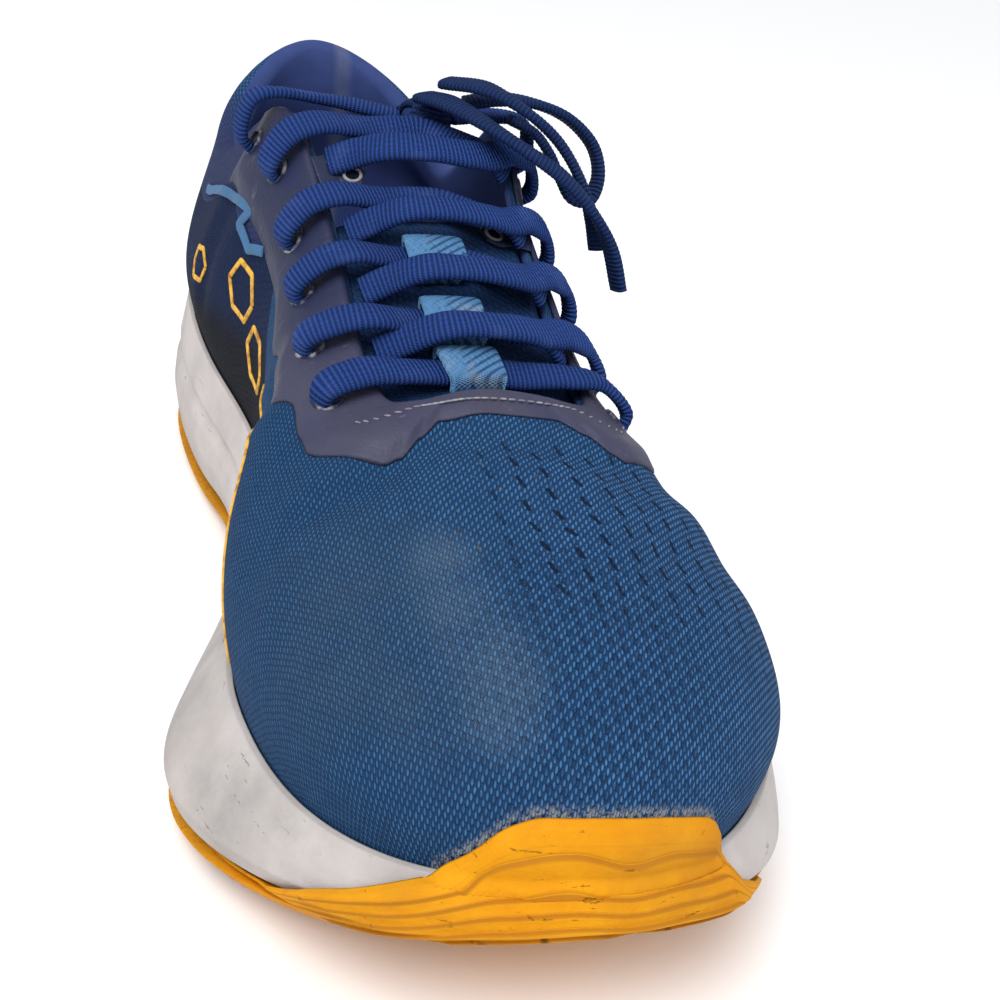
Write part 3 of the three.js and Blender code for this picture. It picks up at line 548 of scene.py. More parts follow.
class Value:
    """A number in a material, with arithmetic that adds Math nodes."""

    def __init__(self, finish, socket):
        self.finish = finish
        self.socket = socket

    def maths(self, operation, *others):
        """The outcome of a Math node with this number first."""
        return self.finish.node("ShaderNodeMath", {"operation": operation}, [self, *others])

    def __add__(self, other):
        return self.maths("ADD", other)

    def __mul__(self, other):
        return self.maths("MULTIPLY", other)

    def __sub__(self, other):
        return self.maths("SUBTRACT", other)

    def __rsub__(self, other):
        return (self * -1) + other

    def __truediv__(self, other):
        return self.maths("DIVIDE", other)

    __radd__ = __add__
    __rmul__ = __mul__

    def fraction(self):
        return self.maths("FRACT")

    def floor(self):
        return self.maths("FLOOR")

    def size(self):
        return self.maths("ABSOLUTE")

    def sine(self):
        return self.maths("SINE")

    def over(self, other):
        return self.maths("MAXIMUM", other)

    def ramp(self, low, high):
        """0 at low, 1 at high, and smooth between."""
        return self.finish.node(
            "ShaderNodeMapRange", {"interpolation_type": "SMOOTHSTEP"}, [self, low, high, 0.0, 1.0])


class Finish:
    """A material in the making: its nodes, and the shader that they feed."""

    def __init__(self, name):
        self.material = bpy.data.materials.new(name)
        self.material.use_nodes = True
        self.tree = self.material.node_tree
        self.shader = self.tree.nodes["Principled BSDF"]

    def node(self, kind, settings, inputs, output=0):
        """Adds a node with its settings, then the values or links of its sockets."""
        made = self.tree.nodes.new(kind)
        for key, value in settings.items():
            setattr(made, key, value)
        pairs = inputs.items() if isinstance(inputs, dict) else enumerate(inputs)
        for key, value in pairs:
            if isinstance(value, Value):
                self.tree.links.new(value.socket, made.inputs[key])
            else:
                made.inputs[key].default_value = value
        return Value(self, made.outputs[output])

    def place(self, kind="Object"):
        """Coordinates of the surface: Object or UV."""
        return self.node("ShaderNodeTexCoord", {}, {}, kind)

    def parts(self, place):
        """The x, y and z of a place."""
        return [self.node("ShaderNodeSeparateXYZ", {}, [place], k) for k in range(3)]

    def joined(self, x, y, z):
        return self.node("ShaderNodeCombineXYZ", {}, [x, y, z])

    def noise(self, place, scale, detail=3.0, roughness=0.55):
        """Cloudy noise from 0 to 1."""
        return self.node("ShaderNodeTexNoise", {}, {
            "Vector": place, "Scale": scale, "Detail": detail, "Roughness": roughness})

    def mix(self, factor, first, second):
        """One colour over another by a factor."""
        return self.node("ShaderNodeMix", {"data_type": "RGBA"}, {
            0: factor, 6: self.colour(first), 7: self.colour(second)}, 2)

    def colour(self, value):
        return value if isinstance(value, Value) else (*value, 1.0)

    def near(self, place, centre, radius, soft=0.5):
        """1 within a radius of a centre in Object coordinates, 0 outside, soft between."""
        away = self.node("ShaderNodeVectorMath", {"operation": "DISTANCE"}, [place, Vector(centre)], 1)
        return 1 - away.ramp(radius * (1 - soft), radius * (1 + soft))

    def finish(self, colour, roughness, height=None, depth=0.0, **numbers):
        """Feeds the shader: its colour and roughness, a bump of a depth in metres, plain numbers."""
        for name, value in {"Base Color": self.colour(colour), "Roughness": roughness, **numbers}.items():
            if isinstance(value, Value):
                self.tree.links.new(value.socket, self.shader.inputs[name])
            else:
                self.shader.inputs[name].default_value = value
        if height is not None:
            bump = self.node("ShaderNodeBump", {}, {"Strength": 1.0, "Distance": depth, "Height": height})
            self.tree.links.new(bump.socket, self.shader.inputs["Normal"])
        return self.material


# Spacing across and along the flat pattern, in tenths of a metre: the knit's stitches, slits and
# holes, and the tongue's stitches
STITCH_PITCH = 0.0088
STITCH_RISE = 0.0145
SLIT_PITCH = 0.055
SLIT_RISE = 0.052
CELL_PITCH = 0.024
CELL_RISE = 0.030
TONGUE_PITCH = 0.010
TONGUE_RISE = 0.016


def knit_stitches(across, along, pitch, rise):
    """Slanted stitches in staggered columns: 1 on a stitch, 0 between."""
    columns = across / pitch
    stagger = (columns.floor() * 0.5).fraction()
    rows = along / rise + stagger
    x = columns.fraction() - 0.5
    y = rows.fraction() - 0.5
    slant = x - y * 0.5
    away = slant * slant * 6.0 + y * y * 4.0
    return 1 - away.ramp(0.25, 1.15)


def dirt_and_highlight_mask(finish, place, patches, broken=0.5):
    """Soft patches broken up by noise: a mask for grey-brown dirt, and for the painted highlight along the
    toe's ridge.
    """
    cloud = finish.noise(place, 70.0, 6.0, 0.65)
    mask = None
    for centre, radius in patches:
        spot = finish.near(place, centre, radius, 0.65)
        mask = spot if mask is None else mask.over(spot)
    return mask * (cloud * broken * 2 + (0.5 - broken)).ramp(0.15, 0.95)


# Dirt patches, then spots along the toe box's crest for a painted highlight, as places and radii in Object
# coordinates
KNIT_PATCHES = [
    ((-0.027, -0.100, 0.058), 0.017), ((-0.021, -0.111, 0.055), 0.015), ((-0.032, -0.106, 0.053), 0.014),
]
RIDGE_HIGHLIGHT = [
    ((-0.0154, -0.095, 0.0628), 0.0055), ((-0.0142, -0.104, 0.060), 0.0060),
    ((-0.0128, -0.112, 0.057), 0.0065), ((-0.0112, -0.119, 0.054), 0.0065),
    ((-0.0120, -0.124, 0.0506), 0.0055),
]


def knit_finish(colours):
    """Knitted mesh: slanted stitches over a dark ground, slits, holes, a dark panel and rubbed dirt, with
    painted shade on its inner side and a painted highlight along the toe's ridge.
    """
    finish = Finish("knit_mesh")
    place = finish.place()
    across, along, _ = finish.parts(finish.place("UV"))
    panel, over, _ = finish.parts(finish.node("ShaderNodeUVMap", {"uv_map": "zones"}, {}))
    x, y, z = finish.parts(place)
    wobble = finish.noise(place, 260.0, 2.0) - 0.5
    drift = (finish.noise(place, 60.0, 2.0) - 0.5) * 0.03
    shift = wobble * 0.006
    stitch = knit_stitches(across + shift, along + shift, STITCH_PITCH, STITCH_RISE)
    uneven = finish.noise(place, 420.0, 2.0).ramp(0.25, 0.75)
    columns = (across + drift) / SLIT_PITCH
    slit_x = columns.fraction() - 0.5
    slit_y = ((along + drift) / SLIT_RISE + (columns.floor() * 0.5).fraction()).fraction() - 0.5
    slit = (1 - ((slit_x + slit_y * 0.3).size() * SLIT_PITCH).ramp(0.0020, 0.0050)) * (
        1 - (slit_y.size() * SLIT_RISE).ramp(0.0105, 0.015))
    slit = slit * x.ramp(-0.010, 0.004) * (1 - y.ramp(-0.073, -0.066)) * y.ramp(-0.120, -0.100)
    cell_column = across / CELL_PITCH
    cell_x = cell_column.fraction() - 0.5
    cell_y = (along / CELL_RISE + (cell_column.floor() * 0.5).fraction()).fraction() - 0.5
    cell = 1 - (cell_x * cell_x + cell_y * cell_y).ramp(0.02, 0.11)
    cell = cell * (finish.near(place, (0.005, -0.118, 0.055), 0.025, 0.5) * 0.6 + 0.22)
    broad = finish.noise(place, 14.0, 2.0)
    light = finish.mix(broad.ramp(0.3, 0.7), colours.knit_teal, colours.knit_light)
    low = 1 - z.ramp(0.035, 0.075)
    light = finish.mix(low * 0.5, light, colours.knit_bright)
    # Painted shade: the knit is darker over the inner side, which faces away from the light.
    inner = (1 - x.ramp(-0.045, 0.002)) * 0.75
    light = finish.mix(inner, light, colours.knit_inner_shade_and_insole_grain)
    colour = finish.mix(stitch * (uneven * 0.4 + 0.6), colours.knit_dark, light)
    mottle = finish.noise(place, 120.0, 5.0, 0.7).ramp(0.42, 0.72)
    colour = finish.mix(mottle * 0.32, colour, colours.knit_dark)
    colour = finish.mix(cell, colour, colours.knit_dark)
    colour = finish.mix(slit * 0.9, colour, colours.knit_slit)
    dirt = dirt_and_highlight_mask(finish, place, KNIT_PATCHES, 0.35)
    colour = finish.mix(dirt * 0.72, colour, colours.dirt)
    # Painted highlight along the toe box's crest, where the light catches it.
    ridge_highlight = dirt_and_highlight_mask(finish, place, RIDGE_HIGHLIGHT, 0.3)
    colour = finish.mix(ridge_highlight * 0.46, colour, colours.ridge_highlight)
    rim = finish.noise(place, 700.0, 3.0, 0.7)
    fringe = (1 - over.ramp(0.04, 0.34)) * rim.ramp(0.36, 0.60)
    colour = finish.mix(fringe * 0.7, colour, colours.dust)
    specked = finish.near(place, (-0.010, -0.080, 0.068), 0.02, 0.6)
    speck = finish.noise(place, 900.0, 1.0).ramp(0.70, 0.76) * specked
    colour = finish.mix(speck * 0.6, colour, colours.speck)
    smooth = (1 - x.ramp(-0.026, -0.018)) * y.ramp(0.0, 0.012) * (1 - y.ramp(0.100, 0.135))
    smooth = smooth * z.ramp(0.060, 0.066) * (1 - panel.ramp(-0.08, 0.0))
    colour = finish.mix(smooth * 0.88, colour, colours.quarter)
    night = finish.mix((z + y * 0.12).ramp(0.056, 0.068), colours.shade, colours.navy)
    colour = finish.mix(panel.ramp(0.0, 0.09), colour, night)
    height = stitch * 0.8 - slit * 1.6 - cell + wobble * 0.4
    return finish.finish(colour, 0.88 - stitch * 0.08, height, 0.0005, **MATT)


def lining_finish(colours):
    """Smooth textile inside the collar, rubbed pale along its crease."""
    finish = Finish("collar_lining")
    place = finish.place()
    across, along, _ = finish.parts(finish.place("UV"))
    weave = ((across / 0.006 * math.pi).sine() * (along / 0.006 * math.pi).sine()).size()
    cloud = finish.noise(place, 35.0, 4.0)
    colour = finish.mix(cloud.ramp(0.3, 0.7), colours.lining, colours.lining_light)
    colour = finish.mix(weave * 0.05, colour, colours.knit_dark)
    x, y, _ = finish.parts(place)
    rub = (1 - (x - 0.0105).size().ramp(0.0006, 0.0034)) * y.ramp(0.10, 0.12)
    colour = finish.mix(rub * cloud.ramp(0.3, 0.7) * 0.22, colour, colours.dust)
    return finish.finish(colour, 0.8, cloud * 0.5 + weave * 0.2, 0.0001, **MATT)


def film_finish(colours):
    """Thin grey-purple film, scuffed matt in places."""
    finish = Finish("eyestay_film")
    place = finish.place()
    x, y, z = finish.parts(place)
    cloud = finish.noise(place, 60.0, 5.0, 0.6)
    grain = finish.noise(place, 1400.0, 2.0)
    front = 1 - y.ramp(-0.046, -0.018)
    colour = finish.mix(front * 0.8, colours.film, colours.film_worn)
    colour = finish.mix(cloud.ramp(0.35, 0.75) * 0.5, colour, colours.film_blue)
    scuff = finish.noise(finish.joined(x * 3, y * 9, z * 3), 60.0, 5.0, 0.7).ramp(0.60, 0.75)
    colour = finish.mix(scuff * 0.22, colour, colours.dust)
    return finish.finish(colour, 0.42 + cloud * 0.3, grain * 0.5 + cloud, 0.0003, **SATIN)


def lace_finish(colours, name, bow_shade):
    """Ribbed flat lace: threads across its width, darker between the ribs as painted shade, rubbed on top,
    and darker over the bow as painted shade.
    """
    finish = Finish(name)
    place = finish.place()
    around, along, _ = finish.parts(finish.place("UV"))
    rib = (along / 0.10 * 2 * math.pi).sine()
    thread = (around * 44 * math.pi).sine() * (along / 0.06 * math.pi).sine()
    cloud = finish.noise(place, 90.0, 4.0)
    # Painted shade: the lace is darker in the grooves between its ribs.
    colour = finish.mix(rib.ramp(-1.0, 0.7), colours.lace_rib_shade, colours.lace)
    colour = finish.mix(cloud.ramp(0.5, 0.8) * 0.45, colour, colours.lace_worn)
    # Painted shade: the bow's lace is darker than the crossing laces, as the bow hangs in shade.
    if bow_shade:
        colour = finish.mix(cloud.ramp(0.2, 0.8) * 0.2 + bow_shade, colour, colours.lace_bow_shade)
    return finish.finish(colour, 0.85, rib * 0.8 + thread * 0.4, 0.0003, **MATT)


def keeper_finish(colours):
    """Pale blue webbing with dark diagonal stripes."""
    finish = Finish("keeper_webbing")
    across, along, _ = finish.parts(finish.place("UV"))
    x, y, _ = finish.parts(finish.place())
    stripe = ((x * 0.75 - y) / 0.0010 * math.pi).sine() - (1 - x.ramp(-0.001, 0.003)) * 1.1
    weave = ((across / 0.005 * math.pi).sine() * (along / 0.005 * math.pi).sine())
    colour = finish.mix(stripe.ramp(0.2, 0.7) * 0.9, colours.keeper, colours.keeper_stripe)
    colour = finish.mix(finish.noise(finish.place(), 150.0, 4.0).ramp(0.5, 0.75) * 0.4, colour, colours.dust)
    return finish.finish(colour, 0.8, weave * 0.4 - stripe * 0.5, 0.0003, **MATT)


def tongue_finish(colours):
    """Close dark textile on the tongue."""
    finish = Finish("tongue_textile")
    place = finish.place()
    across, along, _ = finish.parts(finish.place("UV"))
    stitch = knit_stitches(across, along, TONGUE_PITCH, TONGUE_RISE)
    cloud = finish.noise(place, 45.0, 4.0)
    colour = finish.mix(stitch, colours.knit_dark, colours.tongue)
    colour = finish.mix(cloud.ramp(0.5, 0.8) * 0.35, colour, colours.tongue_light)
    return finish.finish(colour, 0.85, stitch, 0.0003, **MATT)


SMUDGES = [
    ((-0.044, -0.118, 0.024), 0.010), ((-0.052, -0.100, 0.022), 0.012), ((-0.055, -0.060, 0.022), 0.020),
    ((-0.030, -0.135, 0.026), 0.008), ((0.050, 0.090, 0.020), 0.030), ((-0.035, 0.110, 0.018), 0.025),
]


def foam_finish(colours):
    """Moulded foam: off-white, darker and browner low down, with smudges and fine scratches."""
    finish = Finish("midsole_foam")
    place = finish.place()
    x, y, z = finish.parts(place)
    cloud = finish.noise(place, 40.0, 5.0, 0.6)
    fine = finish.noise(place, 700.0, 4.0, 0.7)
    colour = finish.mix(cloud.ramp(0.35, 0.7) * 0.6, colours.midsole, colours.midsole_grey)
    colour = finish.mix((1 - z.ramp(0.006, 0.020)) * 0.35, colour, colours.midsole_low)
    smudge = dirt_and_highlight_mask(finish, place, SMUDGES)
    colour = finish.mix(smudge * 0.8, colour, colours.smudge)
    scratch = finish.noise(finish.joined(x * 2, y * 2, z * 14), 60.0, 4.0, 0.75).ramp(0.66, 0.70)
    colour = finish.mix(scratch * 0.35, colour, colours.smudge)
    pores = fine.ramp(0.62, 0.75)
    colour = finish.mix(pores * 0.12, colour, colours.smudge)
    return finish.finish(colour, 0.62 + cloud * 0.2, fine * 0.4 + cloud - scratch * 0.8, 0.0003)


RUBBER_PATCHES = [
    ((0.028, -0.138, 0.022), 0.016), ((0.012, -0.143, 0.030), 0.010), ((-0.030, -0.130, 0.016), 0.014),
]


def rubber_finish(colours):
    """Yellow-orange rubber, browned low down and where it scuffs, with painted shade in the grooves between
    the bumper's ribs and in its notch cuts.
    """
    finish = Finish("outsole_rubber")
    place = finish.place()
    x, y, z = finish.parts(place)
    steps, along, _ = finish.parts(finish.place("UV"))
    step = steps.fraction()
    # Painted shade standing in for the notch cuts at the bumper's foot, which the bumper's mesh does not cut.
    notch_shade = None
    for station in TOE_NOTCHES:
        middle = (station - BUMPER_START) / (BUMPER_END - BUMPER_START)
        mark = 1 - (along - middle + (steps - 1) * 0.008).size().ramp(0.0018, 0.0060)
        notch_shade = mark if notch_shade is None else notch_shade.over(mark)
    notch_shade = notch_shade * steps.ramp(0.85, 0.95) * (1 - steps.ramp(2.0, 2.3))
    cloud = finish.noise(place, 55.0, 5.0, 0.6)
    fine = finish.noise(place, 900.0, 3.0, 0.6)
    colour = finish.mix(cloud.ramp(0.3, 0.7), colours.rubber, colours.rubber_deep)
    # Painted shade in the grooves between the bumper's ribs.
    rib_groove_shade = step.ramp(0.80, 0.93) * (1 - step.ramp(0.97, 1.0)) + (1 - step.ramp(0.0, 0.10)) * 0.7
    colour = finish.mix(rib_groove_shade * 0.75, colour, colours.rubber_groove_shade)
    colour = finish.mix(notch_shade * 0.8, colour, colours.rubber_notch_shade)
    low = 1 - z.ramp(0.002, 0.014)
    colour = finish.mix(low * (fine.ramp(0.3, 0.7) * 0.5 + 0.2), colour, colours.rubber_dirty)
    scuff = dirt_and_highlight_mask(finish, place, RUBBER_PATCHES)
    colour = finish.mix(scuff * 0.65, colour, colours.rubber_dirty)
    scratch = finish.noise(finish.joined(x * 2, y * 2, z * 12), 80.0, 4.0, 0.75).ramp(0.64, 0.70)
    colour = finish.mix(scratch * 0.35, colour, colours.rubber_dirty)
    return finish.finish(colour, 0.55 + cloud * 0.25, fine * 0.5 + cloud - scratch, 0.0003, **MATT)


def plain_finish(name, colour, worn, roughness, scale=400.0):
    """A small part's finish: one colour worn towards another, with a fine grain."""
    finish = Finish(name)
    place = finish.place()
    grain = finish.noise(place, scale, 4.0, 0.6)
    return finish.finish(finish.mix(grain.ramp(0.42, 0.7), colour, worn), roughness, grain, 0.0002, **MATT)


# The bow hangs over the outer side. Each stop is a place from the knot in millimetres and the way
# the lace's flat side faces there, as in the CAD model.
MM = 0.001
KNOT = Vector((0.19 * HALF_WIDTH, 0.218 * HALF_LENGTH, 0.9955 * COLLAR_HEIGHT))
LOOP = [
    ((8.5, -2.5, 4.5), (0.1, 0, 1)), ((16, -3, 6), (0, 0, 1)), ((25, -4, 5.8), (0.2, 0, 1)),
    ((34, -6, 3), (0.5, 0, 0.9)), ((40.5, -8.5, -3), (0.9, 0, 0.4)), ((42, -10.5, -10), (1, 0, 0)),
    ((39.5, -11.5, -15), (0.6, 0, -0.8)), ((35.5, -11, -15), (-0.4, 0, -0.9)),
    ((32.5, -9.5, -10.5), (-0.9, 0, -0.5)), ((30, -7, -5.5), (-0.8, 0, -0.6)),
    ((26.5, -4.5, -1.3), (-0.5, 0, -0.9)), ((20, -3, 1.5), (-0.1, 0, -1)),
]
FRONT_END = [
    ((-2, -4, 5.6), (0, 0, 1)), ((2, -12, 5.8), (0, 0, 1)), ((9, -20, 3), (0.2, -0.2, 1)),
    ((17, -25.5, -1), (0.4, -0.2, 0.9)), ((25, -29, -5.5), (0.6, -0.2, 0.8)),
    ((32, -32.5, -12), (0.8, -0.2, 0.5)), ((37, -35, -20), (0.9, -0.1, 0.3)), ((40, -37, -29.5), (1, 0, 0.2)),
]
BACK_END = [
    ((3.5, -2, 8.8), (0, 0, 1)), ((11, -10, 9.3), (0, 0, 1)), ((19, -16, 6), (0.3, -0.1, 1)),
    ((26.5, -19.5, 0.5), (0.7, -0.1, 0.7)), ((32, -22.5, -7), (0.9, -0.1, 0.4)),
    ((35.5, -25, -15.5), (0.95, 0, 0.3)), ((37.5, -27, -23), (1, 0, 0.2)),
]
LOOP_LENGTH = 0.078
FRONT_END_LENGTH = 0.070
BACK_END_LENGTH = 0.058
KNOT_REACH = Vector((0.0075, 0.0060, 0.0045))
# Two turns of lace round the knot: tilt and offset along it
KNOT_TURNS = [(0.45, -0.0012), (-0.55, 0.0014)]
# The knot's core, and its lace's thickness, as shares of the whole
KNOT_CORE = 0.8
TURN_REACH = 0.88
TURN_STOPS = 14
TURN_START = 0.4

# Lace runs: stops of [across, row, lift from the low to the over level]
LACE_LOW = -0.0026
LACE_OVER = 0.0025
ACROSS_EYELET = 1 + EYELET_INSET / HALF_THROAT
BAR = [(-ACROSS_EYELET, 0, 1), (-1.1, 0, 1.05), (-0.8, 0, 0.6), (-0.4, 0.02, 0.05), (0, 0.02, 0)]
BAR_RUN = BAR + [(-across, row, lift) for across, row, lift in reversed(BAR[:-1])]
RISING_RUN = [
    (-0.9, 0.62, 0), (-0.6, 0.6, 0.5), (-0.3, 0.53, 1.25), (0, 0.5, 1.4), (0.3, 0.52, 1.4),
    (0.55, 0.62, 1.2), (0.8, 0.82, 1.15), (1.12, 0.96, 1.1), (ACROSS_EYELET, 1, 1),
]
CROSSING_RUN = [
    (0.9, 0.62, 0.3), (0.65, 0.7, 0.85), (0.42, 0.86, 0.4), (0.16, 1.03, 0), (-0.12, 1.03, 0),
    (-0.42, 1.03, 0.02), (-0.85, 1, 0.95), (-1.12, 1, 1.1), (-ACROSS_EYELET, 1, 1),
]
CROSSINGS = 4

# Where a run goes into its eyelet: how far past it, how deep, and its width share before and in it
EYELET_PAST = 0.10
EYELET_DEPTH = 0.0014
NARROWED = 0.9
PINCHED = 0.62

KEEPER_ROWS = [0.02, 1.03, 2.03]
KEEPER_MIDDLE = -0.12
KEEPER_HALF = 0.273
KEEPER_REACH = 0.00435
KEEPER_HEIGHT = 0.0038
KEEPER_EDGE = 0.1
KEEPER_EDGE_LIFT = 0.75
KEEPER_ARCH = (0.45, 0.35)


def bow_stops(stops):
    """The bow's stops in metres, at the lace's full width."""
    return [(KNOT + Vector(place) * MM, Vector(facing), 1.0) for place, facing in stops]


def run_stops(run, row):
    """Stops of a lace run, with its ends taken down into the eyelets."""
    stops = []
    for across, more, level in run:
        point, facing = throat_place(across, row_place(row + more), LACE_LOW + level * (LACE_OVER - LACE_LOW))
        stops.append((point, facing, 1.0))
    for index, (across, more, _) in ((0, run[0]), (-1, run[-1])):
        if abs(across) >= ACROSS_EYELET:
            beyond = across + math.copysign(EYELET_PAST, across)
            point, facing = throat_place(beyond, row_place(row + more), -EYELET_DEPTH)
            stops[index] = (*stops[index][:2], NARROWED)
            stops.insert(0 if index == 0 else len(stops), (point, facing, PINCHED))
    return stops


def wind(points):
    """Stops of a turn of lace round the knot."""
    stops = []
    for point in points:
        facing = Vector([along / reach ** 2 for along, reach in zip(point, KNOT_REACH)])
        stops.append((KNOT + point, facing.normalized(), 1.0))
    return stops


class ShoeSizes(bpy.types.PropertyGroup):
    lace_width: bpy.props.FloatProperty(
        name="Lace width", description="Width of the flat lace", default=0.0075, min=0.003, unit="LENGTH")
    lace_thickness: bpy.props.FloatProperty(
        name="Lace thickness", description="Thickness of the flat lace", default=0.0026, min=0.001,
        unit="LENGTH")
    wall: bpy.props.FloatProperty(
        name="Wall", description="Thickness of the upper's fabric", default=0.0024, min=0.001, unit="LENGTH")
    collar_padding: bpy.props.FloatProperty(
        name="Collar padding", description="Extra thickness round the collar", default=0.006, min=0,
        unit="LENGTH")
    film_edge: bpy.props.FloatProperty(
        name="Film edge", description="Height of the film's welded edge", default=0.0005, min=0.0002,
        unit="LENGTH")
    tongue_thickness: bpy.props.FloatProperty(
        name="Tongue thickness", description="Thickness of the tongue's padding", default=0.005,
        min=0.002, unit="LENGTH")
    tongue_edge: bpy.props.FloatProperty(
        name="Tongue edge", description="Thickness of the tongue's edges", default=0.0022, min=0.001,
        unit="LENGTH")
    bumper_thickness: bpy.props.FloatProperty(
        name="Bumper thickness", description="Thickness of the rubber over the toe", default=0.0024,
        min=0.001, unit="LENGTH")
    rib_height: bpy.props.FloatProperty(
        name="Rib height", description="Height of the bumper's ribs", default=0.0009, min=0, unit="LENGTH")
    keeper_thickness: bpy.props.FloatProperty(
        name="Keeper thickness", description="Thickness of the webbing keepers", default=0.0012, min=0.0005,
        unit="LENGTH")


def colour_property(name, description, default):
    """A colour in the sidebar."""
    return bpy.props.FloatVectorProperty(
        name=name, description=description, subtype="COLOR", size=3, min=0, max=1, default=default)


class ShoeColours(bpy.types.PropertyGroup):
    knit_light: colour_property("Knit", "Stitches on the outer side", (0.048, 0.150, 0.340))
    knit_bright: colour_property("Knit low", "Stitches low round the toe", (0.068, 0.190, 0.400))
    knit_teal: colour_property("Knit top", "Stitches near the throat", (0.030, 0.125, 0.270))
    # Painted shade on the knit's inner side, which faces away from the light; the insole also uses this
    # colour for its grain.
    knit_inner_shade_and_insole_grain: colour_property("Knit inner", "Stitches on the inner side", (0.020, 0.078, 0.175))
    knit_dark: colour_property("Knit ground", "Ground between the stitches", (0.009, 0.035, 0.098))
    shade: colour_property("Shade", "Near-black fabric low on the inner quarter", (0.003, 0.004, 0.010))
    quarter: colour_property("Quarter", "Smooth fabric over the trim", (0.026, 0.034, 0.100))
    navy: colour_property("Navy", "Dark blue fabric high on the inner quarter", (0.005, 0.015, 0.055))
    # Painted highlight along the toe box's crest, not a rubbed crease.
    ridge_highlight: colour_property("Ridge", "Knit rubbed pale along its crease", (0.120, 0.190, 0.290))
    knit_slit: colour_property("Knit slits", "Dark slits over the forefoot", (0.004, 0.010, 0.030))
    dirt: colour_property("Dirt", "Rubbed-in dirt", (0.050, 0.080, 0.110))
    dust: colour_property("Dust", "Pale dust and scuffs", (0.330, 0.330, 0.330))
    speck: colour_property("Specks", "Dried specks", (0.130, 0.120, 0.060))
    lining: colour_property("Lining", "Inside of the collar", (0.022, 0.038, 0.130))
    lining_light: colour_property("Lining light", "Paler lining", (0.040, 0.062, 0.190))
    film: colour_property("Film", "Eyestay film", (0.017, 0.021, 0.056))
    film_blue: colour_property("Film blue", "Film over the knit", (0.012, 0.023, 0.074))
    film_worn: colour_property("Film worn", "Worn film at the front", (0.056, 0.053, 0.090))
    stitching: colour_property("Stitching", "Pale stitches", (0.170, 0.165, 0.215))
    lace: colour_property("Lace", "Ribs of the lace", (0.022, 0.062, 0.250))
    # Painted shade in the grooves between the lace's ribs.
    lace_rib_shade: colour_property("Lace dark", "Between the ribs", (0.009, 0.024, 0.105))
    # Painted shade over the bow, not soiled lace.
    lace_bow_shade: colour_property("Lace soiled", "Soiled lace of the bow", (0.008, 0.018, 0.052))
    lace_worn: colour_property("Lace worn", "Rubbed lace", (0.070, 0.120, 0.360))
    keeper: colour_property("Keeper", "Webbing keepers", (0.080, 0.200, 0.380))
    keeper_stripe: colour_property("Keeper stripe", "Dark stripes", (0.018, 0.060, 0.150))
    tongue: colour_property("Tongue", "Tongue textile", (0.018, 0.045, 0.140))
    tongue_light: colour_property("Tongue light", "Rubbed tongue", (0.035, 0.080, 0.210))
    midsole: colour_property("Midsole", "Foam", (0.520, 0.475, 0.455))
    midsole_grey: colour_property("Midsole grey", "Dirty foam", (0.360, 0.322, 0.308))
    midsole_low: colour_property("Midsole low", "Foam near the ground", (0.330, 0.260, 0.185))
    smudge: colour_property("Smudge", "Smudges on foam", (0.200, 0.190, 0.180))
    rubber: colour_property("Rubber", "Outsole rubber", (0.730, 0.320, 0.005))
    rubber_deep: colour_property("Rubber deep", "Darker rubber", (0.610, 0.230, 0.004))
    # Painted shade in the grooves between the bumper's ribs, not dirt.
    rubber_groove_shade: colour_property("Rubber groove", "Dirt under the ribs", (0.330, 0.120, 0.006))
    # Painted shade standing in for the cuts at the bumper's foot.
    rubber_notch_shade: colour_property("Rubber notch", "Cuts at the bumper's foot", (0.090, 0.030, 0.004))
    rubber_dirty: colour_property("Rubber dirty", "Scuffed rubber", (0.300, 0.130, 0.020))
    piping: colour_property("Piping", "Yellow outlines", (0.750, 0.420, 0.060))
    trim: colour_property("Trim", "Pale blue trim", (0.055, 0.132, 0.235))
    floor: colour_property("Floor", "Studio floor", (0.930, 0.930, 0.935))


def settings():
    """The sizes and the colours that are set in the scene."""
    scene = bpy.context.scene
    return scene.shoe_sizes, scene.shoe_colours


# The photograph's camera: its place, the way it looked, and the part of its picture with the shoe
CAMERA_PLACE = Vector((-0.07275, -0.2675, 0.166))
CAMERA_YAW = math.radians(4.1)
CAMERA_PITCH = math.radians(26.9)
PHOTO_FOCAL = 0.900
PHOTO_AIM = (0.244, 0.012)
LENS = 45.5

# Studio: the floor's half size, then each lamp's name, place, size and power, the sky and the world
FLOOR_REACH = 20
LAMPS = [("key", (-0.5, -0.6, 1.1), 0.7, 7), ("fill", (0.9, -0.8, 0.7), 1.0, 2)]
LAMP_AIM = Vector((0, 0, 0.04))
SKY_STRENGTH = 1.5
SKY_SPREAD = math.radians(50)
SKY_WAY = Vector((0.35, 0.30, -1))
WORLD_COLOUR = (0.95, 0.97, 1.0, 1)
WORLD_STRENGTH = 0.62


